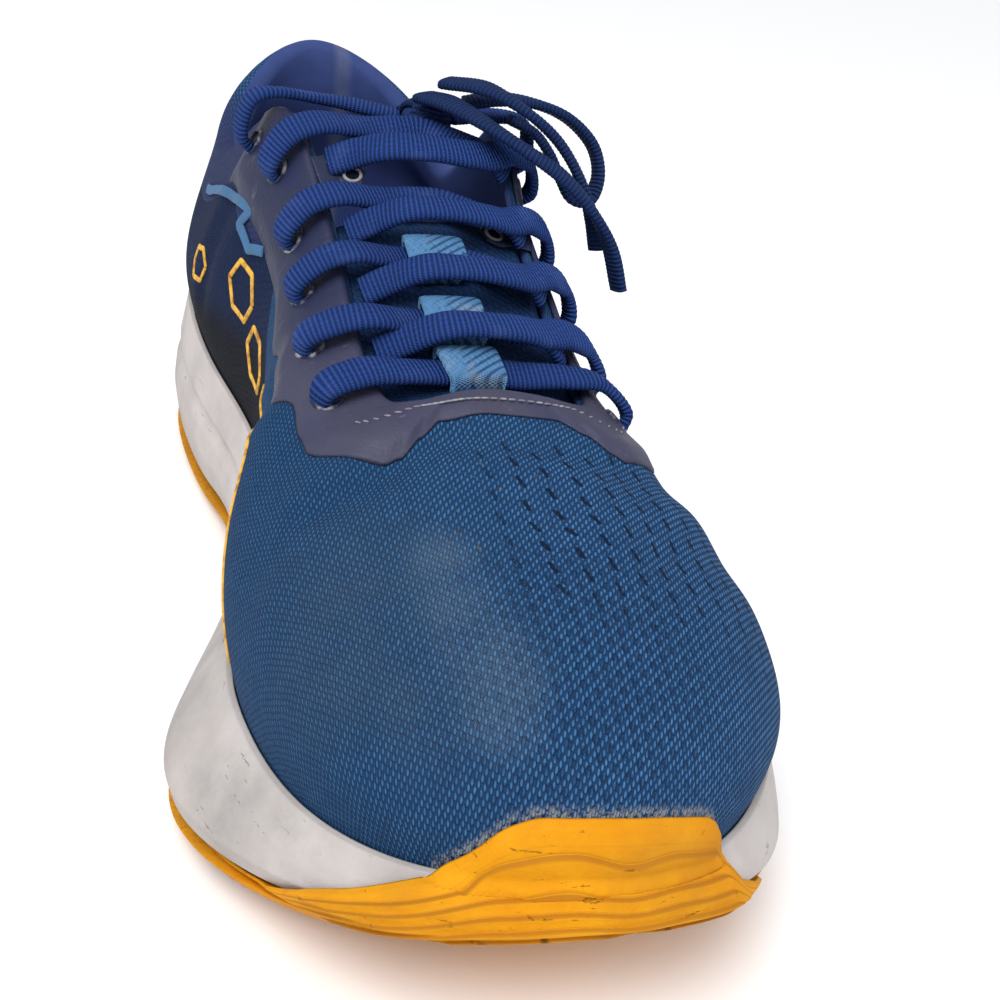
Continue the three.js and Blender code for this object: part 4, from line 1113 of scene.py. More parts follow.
class SHOE_OT_stage(bpy.types.Operator):
    """Camera, floor and soft studio light"""
    bl_idname = "shoe.stage"
    bl_label = "Stage"

    def execute(self, context):
        _, colours = settings()
        forward = Vector((math.sin(CAMERA_YAW) * math.cos(CAMERA_PITCH),
                          math.cos(CAMERA_YAW) * math.cos(CAMERA_PITCH), -math.sin(CAMERA_PITCH)))
        right = Vector((math.cos(CAMERA_YAW), -math.sin(CAMERA_YAW), 0))
        above = right.cross(forward)
        aim = (forward * PHOTO_FOCAL + right * PHOTO_AIM[0] - above * PHOTO_AIM[1]).normalized()
        level = (above - aim * above.dot(aim)).normalized()
        side = aim.cross(level)
        camera = bpy.data.objects.new("camera", bpy.data.cameras.new("camera"))
        camera.data.lens = LENS
        camera.data.clip_start = 0.01
        turn = Matrix((side, level, -aim)).transposed()
        camera.matrix_world = Matrix.Translation(CAMERA_PLACE) @ turn.to_4x4()
        context.collection.objects.link(camera)
        context.scene.camera = camera

        floor = bmesh.new()
        bmesh.ops.create_grid(floor, x_segments=2, y_segments=2, size=FLOOR_REACH)
        data = bpy.data.meshes.new("floor")
        floor.to_mesh(data)
        floor.free()
        ground = bpy.data.objects.new("floor", data)
        context.collection.objects.link(ground)
        finish = Finish("floor")
        data.materials.append(finish.finish(tuple(colours.floor), 0.9))

        for name, place, size, power in LAMPS:
            lamp = bpy.data.objects.new(name, bpy.data.lights.new(name, "AREA"))
            lamp.data.energy = power
            lamp.data.size = size
            lamp.location = place
            lamp.rotation_euler = (LAMP_AIM - Vector(place)).to_track_quat("-Z", "Y").to_euler()
            context.collection.objects.link(lamp)
        sun = bpy.data.objects.new("sky", bpy.data.lights.new("sky", "SUN"))
        sun.data.energy = SKY_STRENGTH
        sun.data.angle = SKY_SPREAD
        sun.rotation_euler = SKY_WAY.to_track_quat("-Z", "Y").to_euler()
        context.collection.objects.link(sun)
        world = bpy.data.worlds.new("studio")
        world.use_nodes = True
        world.node_tree.nodes["Background"].inputs["Color"].default_value = WORLD_COLOUR
        world.node_tree.nodes["Background"].inputs["Strength"].default_value = WORLD_STRENGTH
        context.scene.world = world
        context.scene.view_settings.view_transform = "Standard"
        return {"FINISHED"}


class SHOE_OT_bow(bpy.types.Operator):
    """The knot, its loop and its two ends over the outer side"""
    bl_idname = "shoe.bow"
    bl_label = "Bow"

    def execute(self, context):
        sizes, colours = settings()
        # The bow's lace takes painted shade, darker than the laces across the throat.
        finish = lace_finish(colours, "shaded_bow_lace", 0.5)
        knot = bmesh.new()
        core = Matrix.Translation(KNOT) @ Matrix.Diagonal((*(KNOT_REACH * KNOT_CORE), 1))
        bmesh.ops.create_uvsphere(knot, u_segments=32, v_segments=20, radius=1, matrix=core)
        for tilt, offset in KNOT_TURNS:
            points = []
            for k in range(TURN_STOPS + 1):
                angle = 2 * math.pi * k / TURN_STOPS + TURN_START
                across, up = math.cos(angle) * TURN_REACH, math.sin(angle) * TURN_REACH
                level = Vector((offset, across * KNOT_REACH.y, up * KNOT_REACH.z))
                points.append(Matrix.Rotation(tilt, 3, "Z") @ level)
            mesh, _ = ribbon_mesh(wind(points), sizes.lace_width, sizes.lace_thickness * KNOT_CORE)
            merge(knot, mesh)
        knot_piece = add_piece(context, "bow_knot", knot, [finish], ["lace_knot"])
        for name, stops, node, length, far_end, pieces in (
                ("bow_loop", LOOP, "lace_loop", LOOP_LENGTH, "object", [knot_piece]),
                ("bow_end_front", FRONT_END, "lace_end_front", FRONT_END_LENGTH, "bare", []),
                ("bow_end_back", BACK_END, "lace_end_back", BACK_END_LENGTH, "bare", [])):
            mesh, path = ribbon_mesh(bow_stops(stops), sizes.lace_width, sizes.lace_thickness)
            piece = add_piece(context, name, mesh, [finish], [node])
            marks = [tuple(point) for point in [*path[:-3:6], path[-1]]]
            tuple(path[0])
        return {"FINISHED"}


class SHOE_OT_laces(bpy.types.Operator):
    """The lace's bar and crossings, run through the eyelets"""
    bl_idname = "shoe.laces"
    bl_label = "Laces"

    def execute(self, context):
        sizes, colours = settings()
        finish = lace_finish(colours, "woven_lace", 0)
        runs = [("lace_front_bar", run_stops(BAR_RUN, 0), ["lace_bar"])]
        for row in range(CROSSINGS):
            runs.append((f"lace_rise_{row + 1}", run_stops(RISING_RUN, row), [f"lace_crossing_{row + 1}"]))
            runs.append((f"lace_cross_{row + 1}", run_stops(CROSSING_RUN, row), [f"lace_crossing_{row + 1}"]))
        last = len(EYELET_ROWS) - 1
        for side, node in ((1, "lace_top_outer"), (-1, "lace_top_inner")):
            first, normal = throat_place(side * ACROSS_EYELET, row_place(last), LACE_OVER + MM)
            second, _ = throat_place(side * 1.05, row_place(last), LACE_OVER + 2.5 * MM)
            end = KNOT + Vector((side * (KNOT_REACH.x - 0.001), 0.001, 0))
            middle = second.lerp(end, 0.5) + Vector((0, 0.002, 0.001))
            dip, _ = throat_place(side * (ACROSS_EYELET + EYELET_PAST), row_place(last), -MM)
            stops = [
                (dip, normal, PINCHED), (first, normal, NARROWED), (second, normal, 1),
                (middle, UP.copy(), 1), (end, UP.copy(), NARROWED),
            ]
            runs.append((node.replace("lace_top", "lace_to_knot"), stops, [node]))
        for name, stops, nodes in runs:
            mesh, _ = ribbon_mesh(stops, sizes.lace_width, sizes.lace_thickness)
            add_piece(context, name, mesh, [finish], nodes)
        return {"FINISHED"}


class SHOE_OT_keepers(bpy.types.Operator):
    """Webbing keepers on the tongue, over the laces"""
    bl_idname = "shoe.keepers"
    bl_label = "Keepers"

    def execute(self, context):
        sizes, colours = settings()
        finish = keeper_finish(colours)
        thick = sizes.keeper_thickness
        for number, row in enumerate(KEEPER_ROWS, 1):
            low, high = EYELET_ROWS[int(row):int(row) + 2]
            middle = (low + (row - int(row)) * (high - low)) * HALF_LENGTH

            def place(u, v, middle=middle):
                # u goes round the webbing's section, v along its arch
                lap = abs(2 * u - 1)
                along = min(max((lap - KEEPER_EDGE) / (1 - 2 * KEEPER_EDGE), 0), 1)
                across = KEEPER_MIDDLE + KEEPER_HALF * (1 - 2 * along)
                outer = u < 0.5
                lift = thick if outer else 0
                edge = 1 if KEEPER_EDGE < lap < 1 - KEEPER_EDGE else KEEPER_EDGE_LIFT
                angle = math.pi * v
                level = math.copysign(abs(math.cos(angle)) ** KEEPER_ARCH[0], -math.cos(angle))
                reach = (KEEPER_REACH + lift) * level
                rise = (KEEPER_HEIGHT + lift * edge) * math.sin(angle) ** KEEPER_ARCH[1]
                station = throat_station(round(middle + reach, 6))
                return throat_place(across, station, GAP - TONGUE_DEPTH + rise)[0]

            def flat(u, v):
                return abs(2 * u - 1) * 0.12, v * 0.19

            mesh = grid_mesh(40, 32, place, flat, wrap=True, caps=True)
            add_piece(context, f"keeper_{number}", mesh, [finish], [f"lace_keeper_{number}"])
        return {"FINISHED"}


# Where the collar's padding sets in: round the back, and up the wall; how far its edge rolls over
PADDED_ROUND = (0.7, 0.8)
PADDED_UP = (0.45, 0.85)
ROLL_REACH = 0.0035


def wall_thickness(s, t, sizes):
    """Thickness of the upper's wall, with the collar's padding round the back."""
    back = 1 - abs(2 * (s % 1.0) - 1)
    return sizes.wall + sizes.collar_padding * smooth_step(*PADDED_ROUND, back) * smooth_step(*PADDED_UP, t)


# Rows of the upper's skin: under the rim, the outer side, the rolled edge and the inner side
UPPER_ROWS = 128
OUTER_START = 4 / UPPER_ROWS
OUTER_END = 84 / UPPER_ROWS
EDGE_END = 96 / UPPER_ROWS
INNER_END = 124 / UPPER_ROWS


class SHOE_OT_upper(bpy.types.Operator):
    """The knitted upper, with its wall, its rolled edge and its collar lining"""
    bl_idname = "shoe.upper"
    bl_label = "Upper"

    def execute(self, context):
        sizes, colours = settings()

        def place(s, v):
            middle = column(s)
            if v < OUTER_START:
                return middle.low - UP * LIP_DEPTH * (1 - v / OUTER_START)
            roll = min(wall_thickness(s, 1, sizes) / 2, ROLL_REACH)
            top = middle.share(roll)
            if v <= OUTER_END:
                t = top * (v - OUTER_START) / (OUTER_END - OUTER_START)
                return skin(s, t)
            if v <= EDGE_END:
                angle = math.pi * (v - OUTER_END) / (EDGE_END - OUTER_END)
                normal = upper_normal(s, top)
                rise = (middle.high - middle.point(top)).normalized()
                half = wall_thickness(s, top, sizes) / 2
                return (middle.point(top) - normal * half
                        + normal * half * math.cos(angle) + rise * roll * math.sin(angle))
            if v <= INNER_END:
                t = top * (1 - (v - EDGE_END) / (INNER_END - EDGE_END))
                return middle.point(t) - upper_normal(s, t) * wall_thickness(s, t, sizes)
            drop = (v - INNER_END) / (1 - INNER_END)
            return middle.low - middle.out * sizes.wall - UP * LIP_DEPTH * drop

        def flat(s, v):
            t = min(max((v - OUTER_START) / (OUTER_END - OUTER_START), 0), 1)
            return flat_place(s % 1.0, t) * 10 + Vector((0, max(v - OUTER_END, 0) * 2))

        def zones(s, v):
            return knit_zones(s % 1.0, (v - OUTER_START) / (OUTER_END - OUTER_START))

        mesh = grid_mesh(ROUND_STEPS, UPPER_ROWS, place, flat, wrap=True, lining=(OUTER_END + EDGE_END) / 2,
                         zones=zones)
        edges = [edge for edge in mesh.edges if edge.is_boundary]
        bmesh.ops.bridge_loops(mesh, edges=edges)
        bmesh.ops.recalc_face_normals(mesh, faces=mesh.faces)
        finishes = [knit_finish(colours), lining_finish(colours)]
        add_piece(context, "upper_knit", mesh, finishes, ["upper"])
        return {"FINISHED"}


# Width of the film along the throat, in millimetres, by station: a lobe beside each eyelet
FILM_WIDTHS = [
    (0, 8.2), (0.045, 8.5), (0.058, 13), (0.066, 18), (0.076, 20), (0.1, 20), (0.135, 20.5), (0.16, 19),
    (0.185, 17), (0.21, 23), (0.235, 20), (0.26, 25), (0.285, 22), (0.31, 23.5), (0.33, 25),
    (0.345, 24), (0.36, 20),
]
FILM_END = 0.36
STITCHES = 34
STITCH_DEPTH = 0.0046
STITCH_REACH = 0.118
STITCH_SIZE = (0.00085, 0.00026, 0.00022)
FILM_FOOT = 0.0001
FILM_SLACK = 0.0002
EYELET_RADIUS = 0.0029
EYELET_TUBE = 0.0005


def film_width(s):
    """Width of the film at a station, smooth between its lobes."""
    stations, widths = zip(*FILM_WIDTHS)
    index = min(max(int(np.searchsorted(stations, abs(s))) - 1, 0), len(stations) - 2)
    share = smooth_step(stations[index], stations[index + 1], abs(s))
    return (widths[index] + share * (widths[index + 1] - widths[index])) * MM


def ring(mesh, centre, normal, radius, tube):
    """A round rim: a small circle spun about the normal."""
    normal = normal.normalized()
    side = normal.orthogonal().normalized()
    turn = Matrix((side, normal, side.cross(normal))).transposed().to_4x4()
    start = Matrix.Translation(centre + side * radius) @ turn
    made = bmesh.ops.create_circle(mesh, segments=8, radius=tube, matrix=start)
    edges = list({edge for vert in made["verts"] for edge in vert.link_edges})
    bmesh.ops.spin(mesh, geom=[*made["verts"], *edges], cent=centre, axis=normal, angle=2 * math.pi, steps=20,
                   use_merge=True)


class SHOE_OT_eyestay(bpy.types.Operator):
    """The film along the throat, its stitches, and the rims of its eyelets"""
    bl_idname = "shoe.eyestay"
    bl_label = "Eyestay"

    def execute(self, context):
        sizes, colours = settings()
        finish = film_finish(colours)

        def place(u, v):
            s = -FILM_END + 2 * FILM_END * v
            width = film_width(s)
            share = section_share(u)
            depth = share * width
            t = column(s).share(depth)
            if u >= OUTSIDE:
                return skin(s, t, FILM_FOOT)
            far = smooth_step(width - 0.006, width - FILM_SLACK, depth)
            crown = smooth_step(0, 0.0012, depth) * (1 - far)
            end = smooth_step(0, 0.01, (1 - abs(2 * v - 1)) * FILM_END)
            lift = sizes.film_edge + (FILM_TOP - FILM_SLACK - sizes.film_edge) * crown * end
            lip = 1 if 0 < share < 1 else 0.4
            return skin(s, t, lift * lip)

        def flat(u, v):
            return v * 4, u * 0.4

        mesh = grid_mesh(40, 420, place, flat, wrap=True, caps=True)
        add_piece(context, "eyestay_film", mesh, [finish], ["eyestay"])

        stitches = bmesh.new()
        for k in range(STITCHES):
            s = STITCH_REACH * (2 * k / (STITCHES - 1) - 1)
            t = column(s).share(STITCH_DEPTH + 0.006 * smooth_step(0.07, 0.12, abs(s)))
            centre = skin(s, t, FILM_TOP - FILM_FOOT)
            along = (skin(s + 0.002, t, FILM_TOP) - skin(s - 0.002, t, FILM_TOP)).normalized()
            normal = upper_normal(s, t)
            turn = Matrix((along, normal.cross(along), normal)).transposed().to_4x4()
            spot = Matrix.Translation(centre) @ turn @ Matrix.Diagonal((*STITCH_SIZE, 1))
            bmesh.ops.create_uvsphere(stitches, u_segments=8, v_segments=6, radius=1, matrix=spot)
        thread = plain_finish("stitching_thread", colours.stitching, colours.dust, 0.8)
        add_piece(context, "eyestay_stitches", stitches, [thread])

        rims = bmesh.new()
        for side in (1, -1):
            for row in range(len(EYELET_ROWS)):
                s = on_side(side, row_place(row))
                t = column(s).share(EYELET_INSET)
                centre = skin(s, t, FILM_TOP - FILM_SLACK)
                ring(rims, centre, upper_normal(s, t), EYELET_RADIUS, EYELET_TUBE)
        rim = plain_finish("eyelet_rim", colours.film, colours.dust, 0.4)
        add_piece(context, "eyelet_rims", rims, [rim])
        return {"FINISHED"}


def beside(s, t, across, up):
    """The place on the upper that lies some metres along and up from another."""
    step = 0.002
    point = column(s).point(t)
    around = (column(s + step).point(t) - point).length / step
    rise = (column(s).point(t + step) - point).length / step
    return s + across / around, t + up / rise


def line_on_skin(places, lift, closed=False):
    """Stops of a thin strip over the upper, through places of (s, t) with firm corners."""
    ends = [*places, places[0]] if closed else places
    stops = []
    for (s0, t0), (s1, t1) in zip(ends, ends[1:]):
        for k in range(6):
            s, t = s0 + (s1 - s0) * k / 6, t0 + (t1 - t0) * k / 6
            stops.append((skin(s, t, lift), upper_normal(s, t), 1.0))
    s, t = ends[-1]
    stops.append((skin(s, t, lift), upper_normal(s, t), 1.0))
    return stops


# On the inner quarter, as (s, t) on the upper: hexagons (and their radius), piping and trim
HEXAGONS = [(0.632, 0.37, 0.0062), (0.680, 0.43, 0.0080), (0.702, 0.30, 0.0078)]
PIPING = [(0.736, 0.41), (0.76, 0.46), (0.794, 0.53), (0.806, 0.48), (0.816, 0.28), (0.822, 0.06)]
TRIM = [(0.6, 0.725), (0.618, 0.72), (0.65, 0.67), (0.67, 0.675), (0.666, 0.61), (0.678, 0.57), (0.69, 0.62)]
OUTLINE_WIDTH = 0.0014
OUTLINE_THICKNESS = 0.0006
OUTLINE_SQUASH = 0.86
PIPING_WIDTH = 0.0010
TRIM_WIDTH = 0.0026
TRIM_THICKNESS = 0.0008
OUTLINE_LIFT = 0.0001
TRIM_LIFT = 0.0005


class SHOE_OT_quarter(bpy.types.Operator):
    """Outlined hexagons, piping and a pale trim on the inner quarter"""
    bl_idname = "shoe.quarter"
    bl_label = "Quarter Details"

    def execute(self, context):
        _, colours = settings()
        yellow = plain_finish("yellow_outline", colours.piping, colours.rubber_dirty, 0.6)
        for number, (s, t, radius) in enumerate(HEXAGONS, 1):
            corners = []
            for k in range(6):
                angle = k * math.pi / 3
                up = radius * OUTLINE_SQUASH * math.sin(angle)
                corners.append(beside(s, t, radius * math.cos(angle), up))
            stops = line_on_skin(corners, OUTLINE_LIFT, True)
            mesh, _ = ribbon_mesh(stops, OUTLINE_WIDTH, OUTLINE_THICKNESS)
            add_piece(context, f"hexagon_{number}", mesh, [yellow])
        mesh, _ = ribbon_mesh(line_on_skin(PIPING, OUTLINE_LIFT), PIPING_WIDTH, OUTLINE_THICKNESS)
        add_piece(context, "quarter_piping", mesh, [yellow])
        blue = plain_finish("pale_trim", colours.trim, colours.knit_light, 0.6)
        mesh, _ = ribbon_mesh(line_on_skin(TRIM, TRIM_LIFT), TRIM_WIDTH, TRIM_THICKNESS)
        add_piece(context, "quarter_trim", mesh, [blue])
        return {"FINISHED"}


# Loose film tabs inside the throat: (side, row), each with an unused eyelet, a worn pale rim, and painted
# shade in its hole
TABS = [(-1, 3.5), (1, 2.75)]
TAB_WIDTH = 0.0088
TAB_THICKNESS = 0.0008
TAB_HOLE = 0.0017
TAB_RIM = 0.00042


class SHOE_OT_tabs(bpy.types.Operator):
    """Film tabs with unused eyelets, worn pale at their rims, with painted shade in their holes"""
    bl_idname = "shoe.tabs"
    bl_label = "Eyelet Tabs"

    def execute(self, context):
        _, colours = settings()
        rims, film, hole_shades = bmesh.new(), bmesh.new(), bmesh.new()
        for side, row in TABS:
            s = row_place(row)
            level = TONGUE_DEPTH - 0.0011
            start, _ = throat_place(side * 1.02, s, -0.0012)
            middle, _ = throat_place(side * 0.84, s, -level)
            end, normal = throat_place(side * 0.60, row_place(row - 0.12), -level)
            stops = [(start, normal, 1.0), (middle, normal, 1.0), (middle.lerp(end, 0.6), normal, 0.95),
                     (end, normal, 0.45)]
            mesh, _ = ribbon_mesh(stops, TAB_WIDTH, TAB_THICKNESS)
            merge(film, mesh)
            centre = middle.lerp(end, 0.55)
            ring(rims, centre + normal * 0.0004, normal, TAB_HOLE + 0.0002, TAB_RIM)
            # A flat dark disc in each unused eyelet: painted shade where the hole would show through, not a
            # cut opening.
            turn = normal.to_track_quat("Z", "Y").to_matrix().to_4x4()
            disc = Matrix.Translation(centre + normal * 0.0004) @ turn @ Matrix.Diagonal((1, 1, 0.12, 1))
            bmesh.ops.create_uvsphere(hole_shades, u_segments=16, v_segments=8, radius=TAB_HOLE, matrix=disc)
        add_piece(context, "tab_film", film, [bpy.data.materials["eyestay_film"]])
        pale = plain_finish("worn_rim", colours.dust, colours.stitching, 0.7)
        add_piece(context, "tab_rims", rims, [pale])
        hole_shade_finish = plain_finish("painted_hole_shade", colours.shade, colours.knit_slit, 0.9)
        add_piece(context, "tab_hole_shades", hole_shades, [hole_shade_finish])
        return {"FINISHED"}


# The tongue: how far it reaches past the throat's edges, its stations, and its tucked front share
TONGUE_REACH = 1.45
TONGUE_FRONT = 0.126
TONGUE_BACK = 0.285
TUCK = 0.12
TUCK_SHIFT = Vector((0, -0.055 * HALF_LENGTH, -0.035 * COLLAR_HEIGHT))
QUILT_HEIGHT = 0.0004


class SHOE_OT_tongue(bpy.types.Operator):
    """The padded tongue, slid down into the throat"""
    bl_idname = "shoe.tongue"
    bl_label = "Tongue"

    def execute(self, context):
        sizes, colours = settings()

        def place(u, v):
            # u goes round the section: over the top from side to side, then back below
            top = u < 0.5
            over, side = (2 * u - 0.5, 1) if top else (2 * u - 1.5, -1)
            across = side * TONGUE_REACH * math.sin(math.pi * over)
            share = max(v - TUCK, 0) / (1 - TUCK)
            s = TONGUE_FRONT + share * (TONGUE_BACK - TONGUE_FRONT)
            thick = sizes.tongue_edge + (sizes.tongue_thickness - sizes.tongue_edge) * (
                1 - smooth_step(0.7, 1.4, abs(across)))
            rounding = math.sqrt(max(1 - (abs(across) / TONGUE_REACH) ** 8, 0.02)) * math.sqrt(
                max(1 - smooth_step(0.9, 1.0, share) ** 2 * 0.9, 0.05))
            quilt = QUILT_HEIGHT * math.sin(across * 9) ** 2 * (1 - smooth_step(0.8, 1, abs(across)))
            depth = TONGUE_DEPTH + thick / 2 - side * thick / 2 * rounding + (quilt if top else 0)
            point = throat_place(across, s, -depth)[0]
            if v < TUCK:
                point += TUCK_SHIFT * (1 - v / TUCK)
            return point

        mesh = grid_mesh(96, 90, place, lambda u, v: (abs(2 * u - 1) * 0.6, v * 0.75), wrap=True, caps=True)
        pad = add_piece(context, "tongue_pad", mesh, [tongue_finish(colours)], ["tongue"])
        return {"FINISHED"}


def ring_body(profile, rows):
    """A closed body from rings round the shoe: profile(s, v) places them from one end to the other."""
    return grid_mesh(ROUND_STEPS, rows, profile, lambda s, v: (0.5, s * 7.4), wrap=True, caps=True)


# Where the midsole's stretches end: its bottom, its side, its lip, the lip's inside, the footbed
BOTTOM_END = 0.06
SIDE_END = 0.80
LIP_END = 0.84
SEAT_END = 0.90


class SHOE_OT_midsole(bpy.types.Operator):
    """The foam midsole: its sculpted side, its lip and its footbed"""
    bl_idname = "shoe.midsole"
    bl_label = "Midsole"

    def execute(self, context):
        _, colours = settings()

        def seat(s, inset, depth):
            # A place inside the rim and under it
            return Vector(rim_loop(s)) - outward(s) * inset - UP * depth

        def profile(s, v):
            if v < BOTTOM_END:
                low = side_point(s, 0)
                inner = outline_point(s, -TREAD_EDGE)
                return Vector((*inner.xy.lerp(low.xy, v / BOTTOM_END), low.z))
            if v <= SIDE_END:
                height = (v - BOTTOM_END) / (SIDE_END - BOTTOM_END)
                soften = 0.022 * (1 - smooth_step(0.94, 1, height)) * smooth_step(0, 0.06, height)
                return side_point(s, height, 1, soften)
            if v <= LIP_END:
                return side_point(s, 1).lerp(seat(s, -GAP, 0), (v - SIDE_END) / (LIP_END - SIDE_END))
            if v <= SEAT_END:
                return seat(s, -GAP, (LIP_DEPTH + GAP) * (v - LIP_END) / (SEAT_END - LIP_END))
            share = (v - SEAT_END) / (1 - SEAT_END)
            return seat(s, -GAP + (FOOTBED_EDGE + GAP) * share, LIP_DEPTH + GAP + FOOTBED_DISH * share)

        body = ring_body(profile, 100)
        add_piece(context, "midsole_foam", body, [foam_finish(colours)], ["midsole"])
        return {"FINISHED"}


class SHOE_OT_insole(bpy.types.Operator):
    """The dished insole"""
    bl_idname = "shoe.insole"
    bl_label = "Insole"

    def execute(self, context):
        sizes, colours = settings()
        reach = sizes.wall + 2 * GAP
        rows = [(FOOTBED_EDGE + GAP, FOOTBED_DISH), (reach + 0.0015, 0), (reach, -0.0015),
                (reach, -INSOLE_THICKNESS), (FOOTBED_EDGE + GAP, FOOTBED_DISH - INSOLE_THICKNESS)]

        def profile(s, v):
            inset, depth = row_at(rows, v)
            return Vector(rim_loop(s)) - outward(s) * inset + UP * (GAP - LIP_DEPTH - depth)

        # The insole's grain reuses the knit's inner-side colour as plain grain.
        finish = plain_finish("insole_textile", colours.lining, colours.knit_inner_shade_and_insole_grain, 0.9, 900.0)
        body = ring_body(profile, 20)
        add_piece(context, "insole_sheet", body, [finish], ["insole"])
        return {"FINISHED"}


# Grooves across the tread, then the bumper's ribs, the share of its section with ribs, its foot
CROSS_GROOVES = [-0.66, -0.5, -0.34, 0.5, 0.66, 0.82]
RIBS = 6
RIBBED = (0.03, 0.62)
BUMPER_FOOT = -0.08

# The bumper's thickness: how much it thins to its top and its ends, and where the ribs run out
TOP_THINNING = 0.55
END_THINNING = 0.45
BARE_END = 0.35
RIBS_START = (0.02, 0.1)
RIBS_TOP = (0.86, 0.95)
RIBS_STOP = (0.040, 0.052)


def carcass_point(s, height):
    """The surface that the bumper wraps: the midsole's side, then the upper above the rim."""
    if height <= 1:
        return side_point(s, height, 0), outward(s)
    t = (height - 1) * RISE_ON_UPPER
    normal = upper_normal(s, t)
    return column(s).point(t) + normal * LIP * (1 - smooth_step(1, 1.12, height)), normal


def rib_steps(s, share):
    """Which rib a place on the bumper is on: the ribs wave along it."""
    return (share + 0.022 * math.sin(s * 95 + 0.6) + 0.014 * math.sin(s * 210)) * RIBS + 1


def rib_shape(s, share):
    """Stepped ribs: each juts out at its upper edge."""
    steps = rib_steps(s, share)
    rise = steps - math.floor(steps)
    return (rise ** 1.5) * (1 - smooth_step(0.86, 1.0, rise))


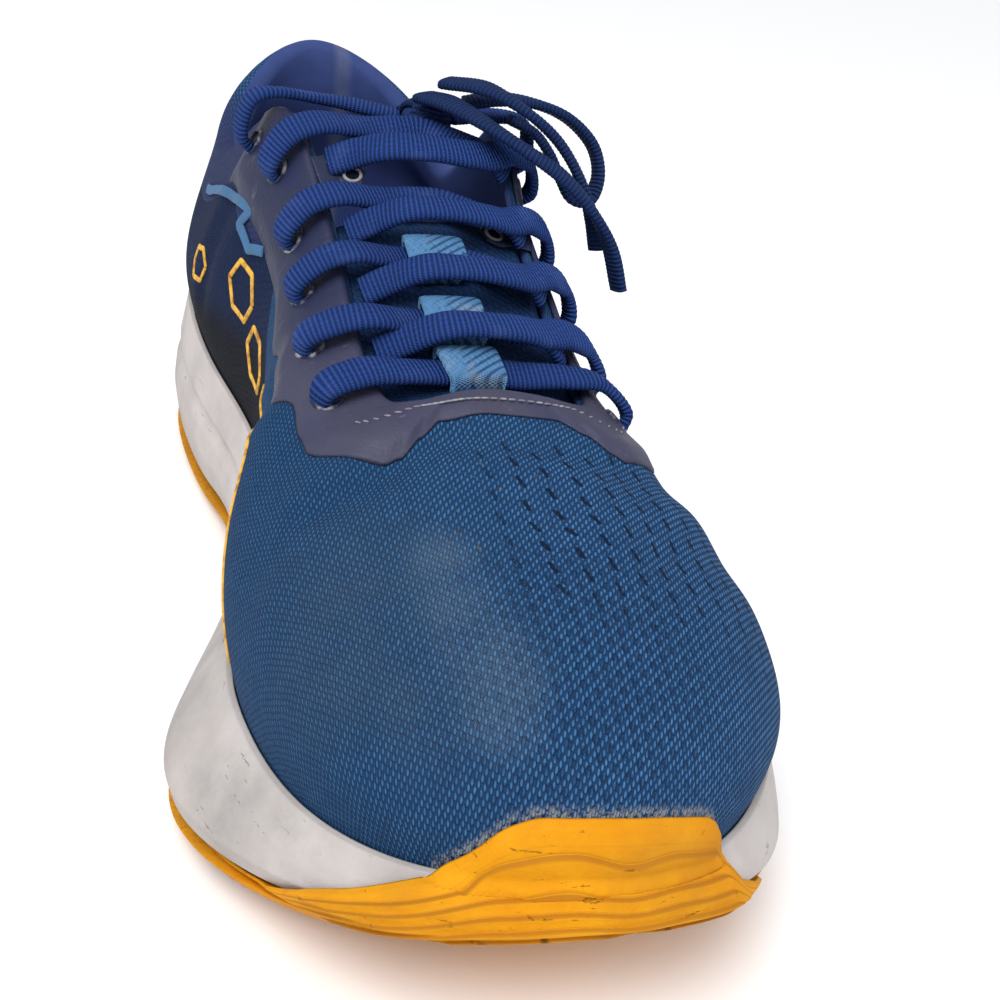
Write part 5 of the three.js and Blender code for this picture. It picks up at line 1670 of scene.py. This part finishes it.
class SHOE_OT_outsole(bpy.types.Operator):
    """The rubber tread with its grooves, and the ribbed bumper over the toe"""
    bl_idname = "shoe.outsole"
    bl_label = "Outsole"

    def execute(self, context):
        sizes, colours = settings()
        finish = rubber_finish(colours)

        def level(s, offset, rise):
            # A place beside the outline, over the tread's own height
            point = outline_point(s, offset)
            point.z = tread_height(point.y) + rise
            return point

        inset = SOLE_EDGE_INSET
        rows = [
            (-TREAD_EDGE, 0), (-inset, 0), (-0.72 * inset, 0.06), (-0.5 * inset, 0.3),
            (-0.3 * inset, 0.68), (-0.2 * inset, 0.96), (-0.3 * inset, 1), (-inset, 1), (-TREAD_EDGE, 1),
        ]

        def profile(s, v):
            offset, rise = row_at(rows, v)
            return level(s, offset, rise * OUTSOLE_THICKNESS)

        body = ring_body(profile, 16)
        tread = add_piece(context, "outsole_tread", body, [finish], ["outsole"])
        self.cut_grooves(context, tread)

        def place(u, v):
            s = BUMPER_START + v * (BUMPER_END - BUMPER_START)
            top = bumper_top(s)
            fade = smooth_step(0.1, 0.9, top)
            outer = u < OUTSIDE
            share = section_share(u)
            height = BUMPER_FOOT + share * (top - BUMPER_FOOT)
            point, normal = carcass_point(s, height)
            if not outer:
                return point + normal * BUMPER_GAP
            ends = smooth_step(0, 0.02, v) * smooth_step(0, 0.02, 1 - v)
            thick = sizes.bumper_thickness * (1 - TOP_THINNING * share ** 3)
            thick *= (1 - END_THINNING * (1 - fade)) * (1 - 0.8 * smooth_step(0.95, 1, share))
            ribbed = smooth_step(*RIBS_START, share) * (1 - smooth_step(*RIBS_TOP, share))
            ribbed *= fade * (1 - smooth_step(*RIBS_STOP, s))
            rib = sizes.rib_height * rib_shape(s, share) * ribbed
            return point + normal * (BUMPER_GAP + (thick + rib) * (BARE_END + (1 - BARE_END) * ends))

        def flat(u, v):
            s = BUMPER_START + v * (BUMPER_END - BUMPER_START)
            ribbed = RIBBED[0] < u < RIBBED[1]
            return rib_steps(s, u / OUTSIDE) if ribbed else 0.5, v

        mesh = grid_mesh(170, 240, place, flat, wrap=True, caps=True)
        add_piece(context, "toe_bumper", mesh, [finish], ["outsole"])
        return {"FINISHED"}

    def cut_grooves(self, context, tread):
        """Cuts the cross grooves and the toe's notches out of the tread."""
        cutters = bmesh.new()
        for share in CROSS_GROOVES:
            y = share * HALF_LENGTH
            top = tread_height(y) + GROOVE_DEPTH
            place = Matrix.Translation((0, y, top - 0.0045))
            size = Matrix.Diagonal((0.14, GROOVE_WIDTH, 0.009, 1))
            bmesh.ops.create_cube(cutters, size=1, matrix=place @ size)
        for s in TOE_NOTCHES:
            out = outward(s)
            point = outline_point(s, -SOLE_EDGE_INSET)
            turn = Matrix.Rotation(math.atan2(out.y, out.x), 4, "Z")
            place = Matrix.Translation((point.x, point.y, tread_height(point.y) + GROOVE_DEPTH - 0.0035))
            size = Matrix.Diagonal((0.02, NOTCH_WIDTH, 0.007, 1))
            bmesh.ops.create_cube(cutters, size=1, matrix=place @ turn @ size)
        data = bpy.data.meshes.new("grooves")
        cutters.to_mesh(data)
        cutters.free()
        cutter = bpy.data.objects.new("grooves", data)
        context.collection.objects.link(cutter)
        modifier = tread.modifiers.new("grooves", "BOOLEAN")
        modifier.object = cutter
        modifier.operation = "DIFFERENCE"
        modifier.solver = "EXACT"
        cut = bpy.data.meshes.new_from_object(tread.evaluated_get(context.evaluated_depsgraph_get()))
        tread.modifiers.clear()
        tread.data = cut
        bpy.data.objects.remove(cutter)


class SHOE_PT_panel(bpy.types.Panel):
    """Lists the shoe's pieces in the sidebar"""
    bl_label = "Worn Shoe"
    bl_idname = "SHOE_PT_panel"
    bl_space_type = "VIEW_3D"
    bl_region_type = "UI"
    bl_category = "Shoe"

    def draw(self, context):
        for operator in OPERATORS:
            self.layout.operator(operator.bl_idname)
        for group in (context.scene.shoe_sizes, context.scene.shoe_colours):
            box = self.layout.box()
            for name in group.__annotations__:
                box.prop(group, name)


OPERATORS = [
    SHOE_OT_stage, SHOE_OT_bow, SHOE_OT_laces, SHOE_OT_keepers, SHOE_OT_upper, SHOE_OT_eyestay,
    SHOE_OT_quarter, SHOE_OT_tabs, SHOE_OT_tongue, SHOE_OT_midsole, SHOE_OT_insole, SHOE_OT_outsole,
]
CLASSES = [ShoeSizes, ShoeColours, *OPERATORS, SHOE_PT_panel]


def register():
    for made in CLASSES:
        bpy.utils.register_class(made)
    bpy.types.Scene.shoe_sizes = bpy.props.PointerProperty(type=ShoeSizes)
    bpy.types.Scene.shoe_colours = bpy.props.PointerProperty(type=ShoeColours)


def unregister():
    del bpy.types.Scene.shoe_colours
    del bpy.types.Scene.shoe_sizes
    for made in reversed(CLASSES):
        bpy.utils.unregister_class(made)


def main():
    register()
    bpy.ops.shoe.stage()
    bpy.ops.shoe.bow()
    bpy.ops.shoe.laces()
    bpy.ops.shoe.keepers()
    bpy.ops.shoe.upper()
    bpy.ops.shoe.eyestay()
    bpy.ops.shoe.quarter()
    bpy.ops.shoe.tabs()
    bpy.ops.shoe.tongue()
    bpy.ops.shoe.midsole()
    bpy.ops.shoe.insole()
    bpy.ops.shoe.outsole()


if __name__ == "__main__":
    main()
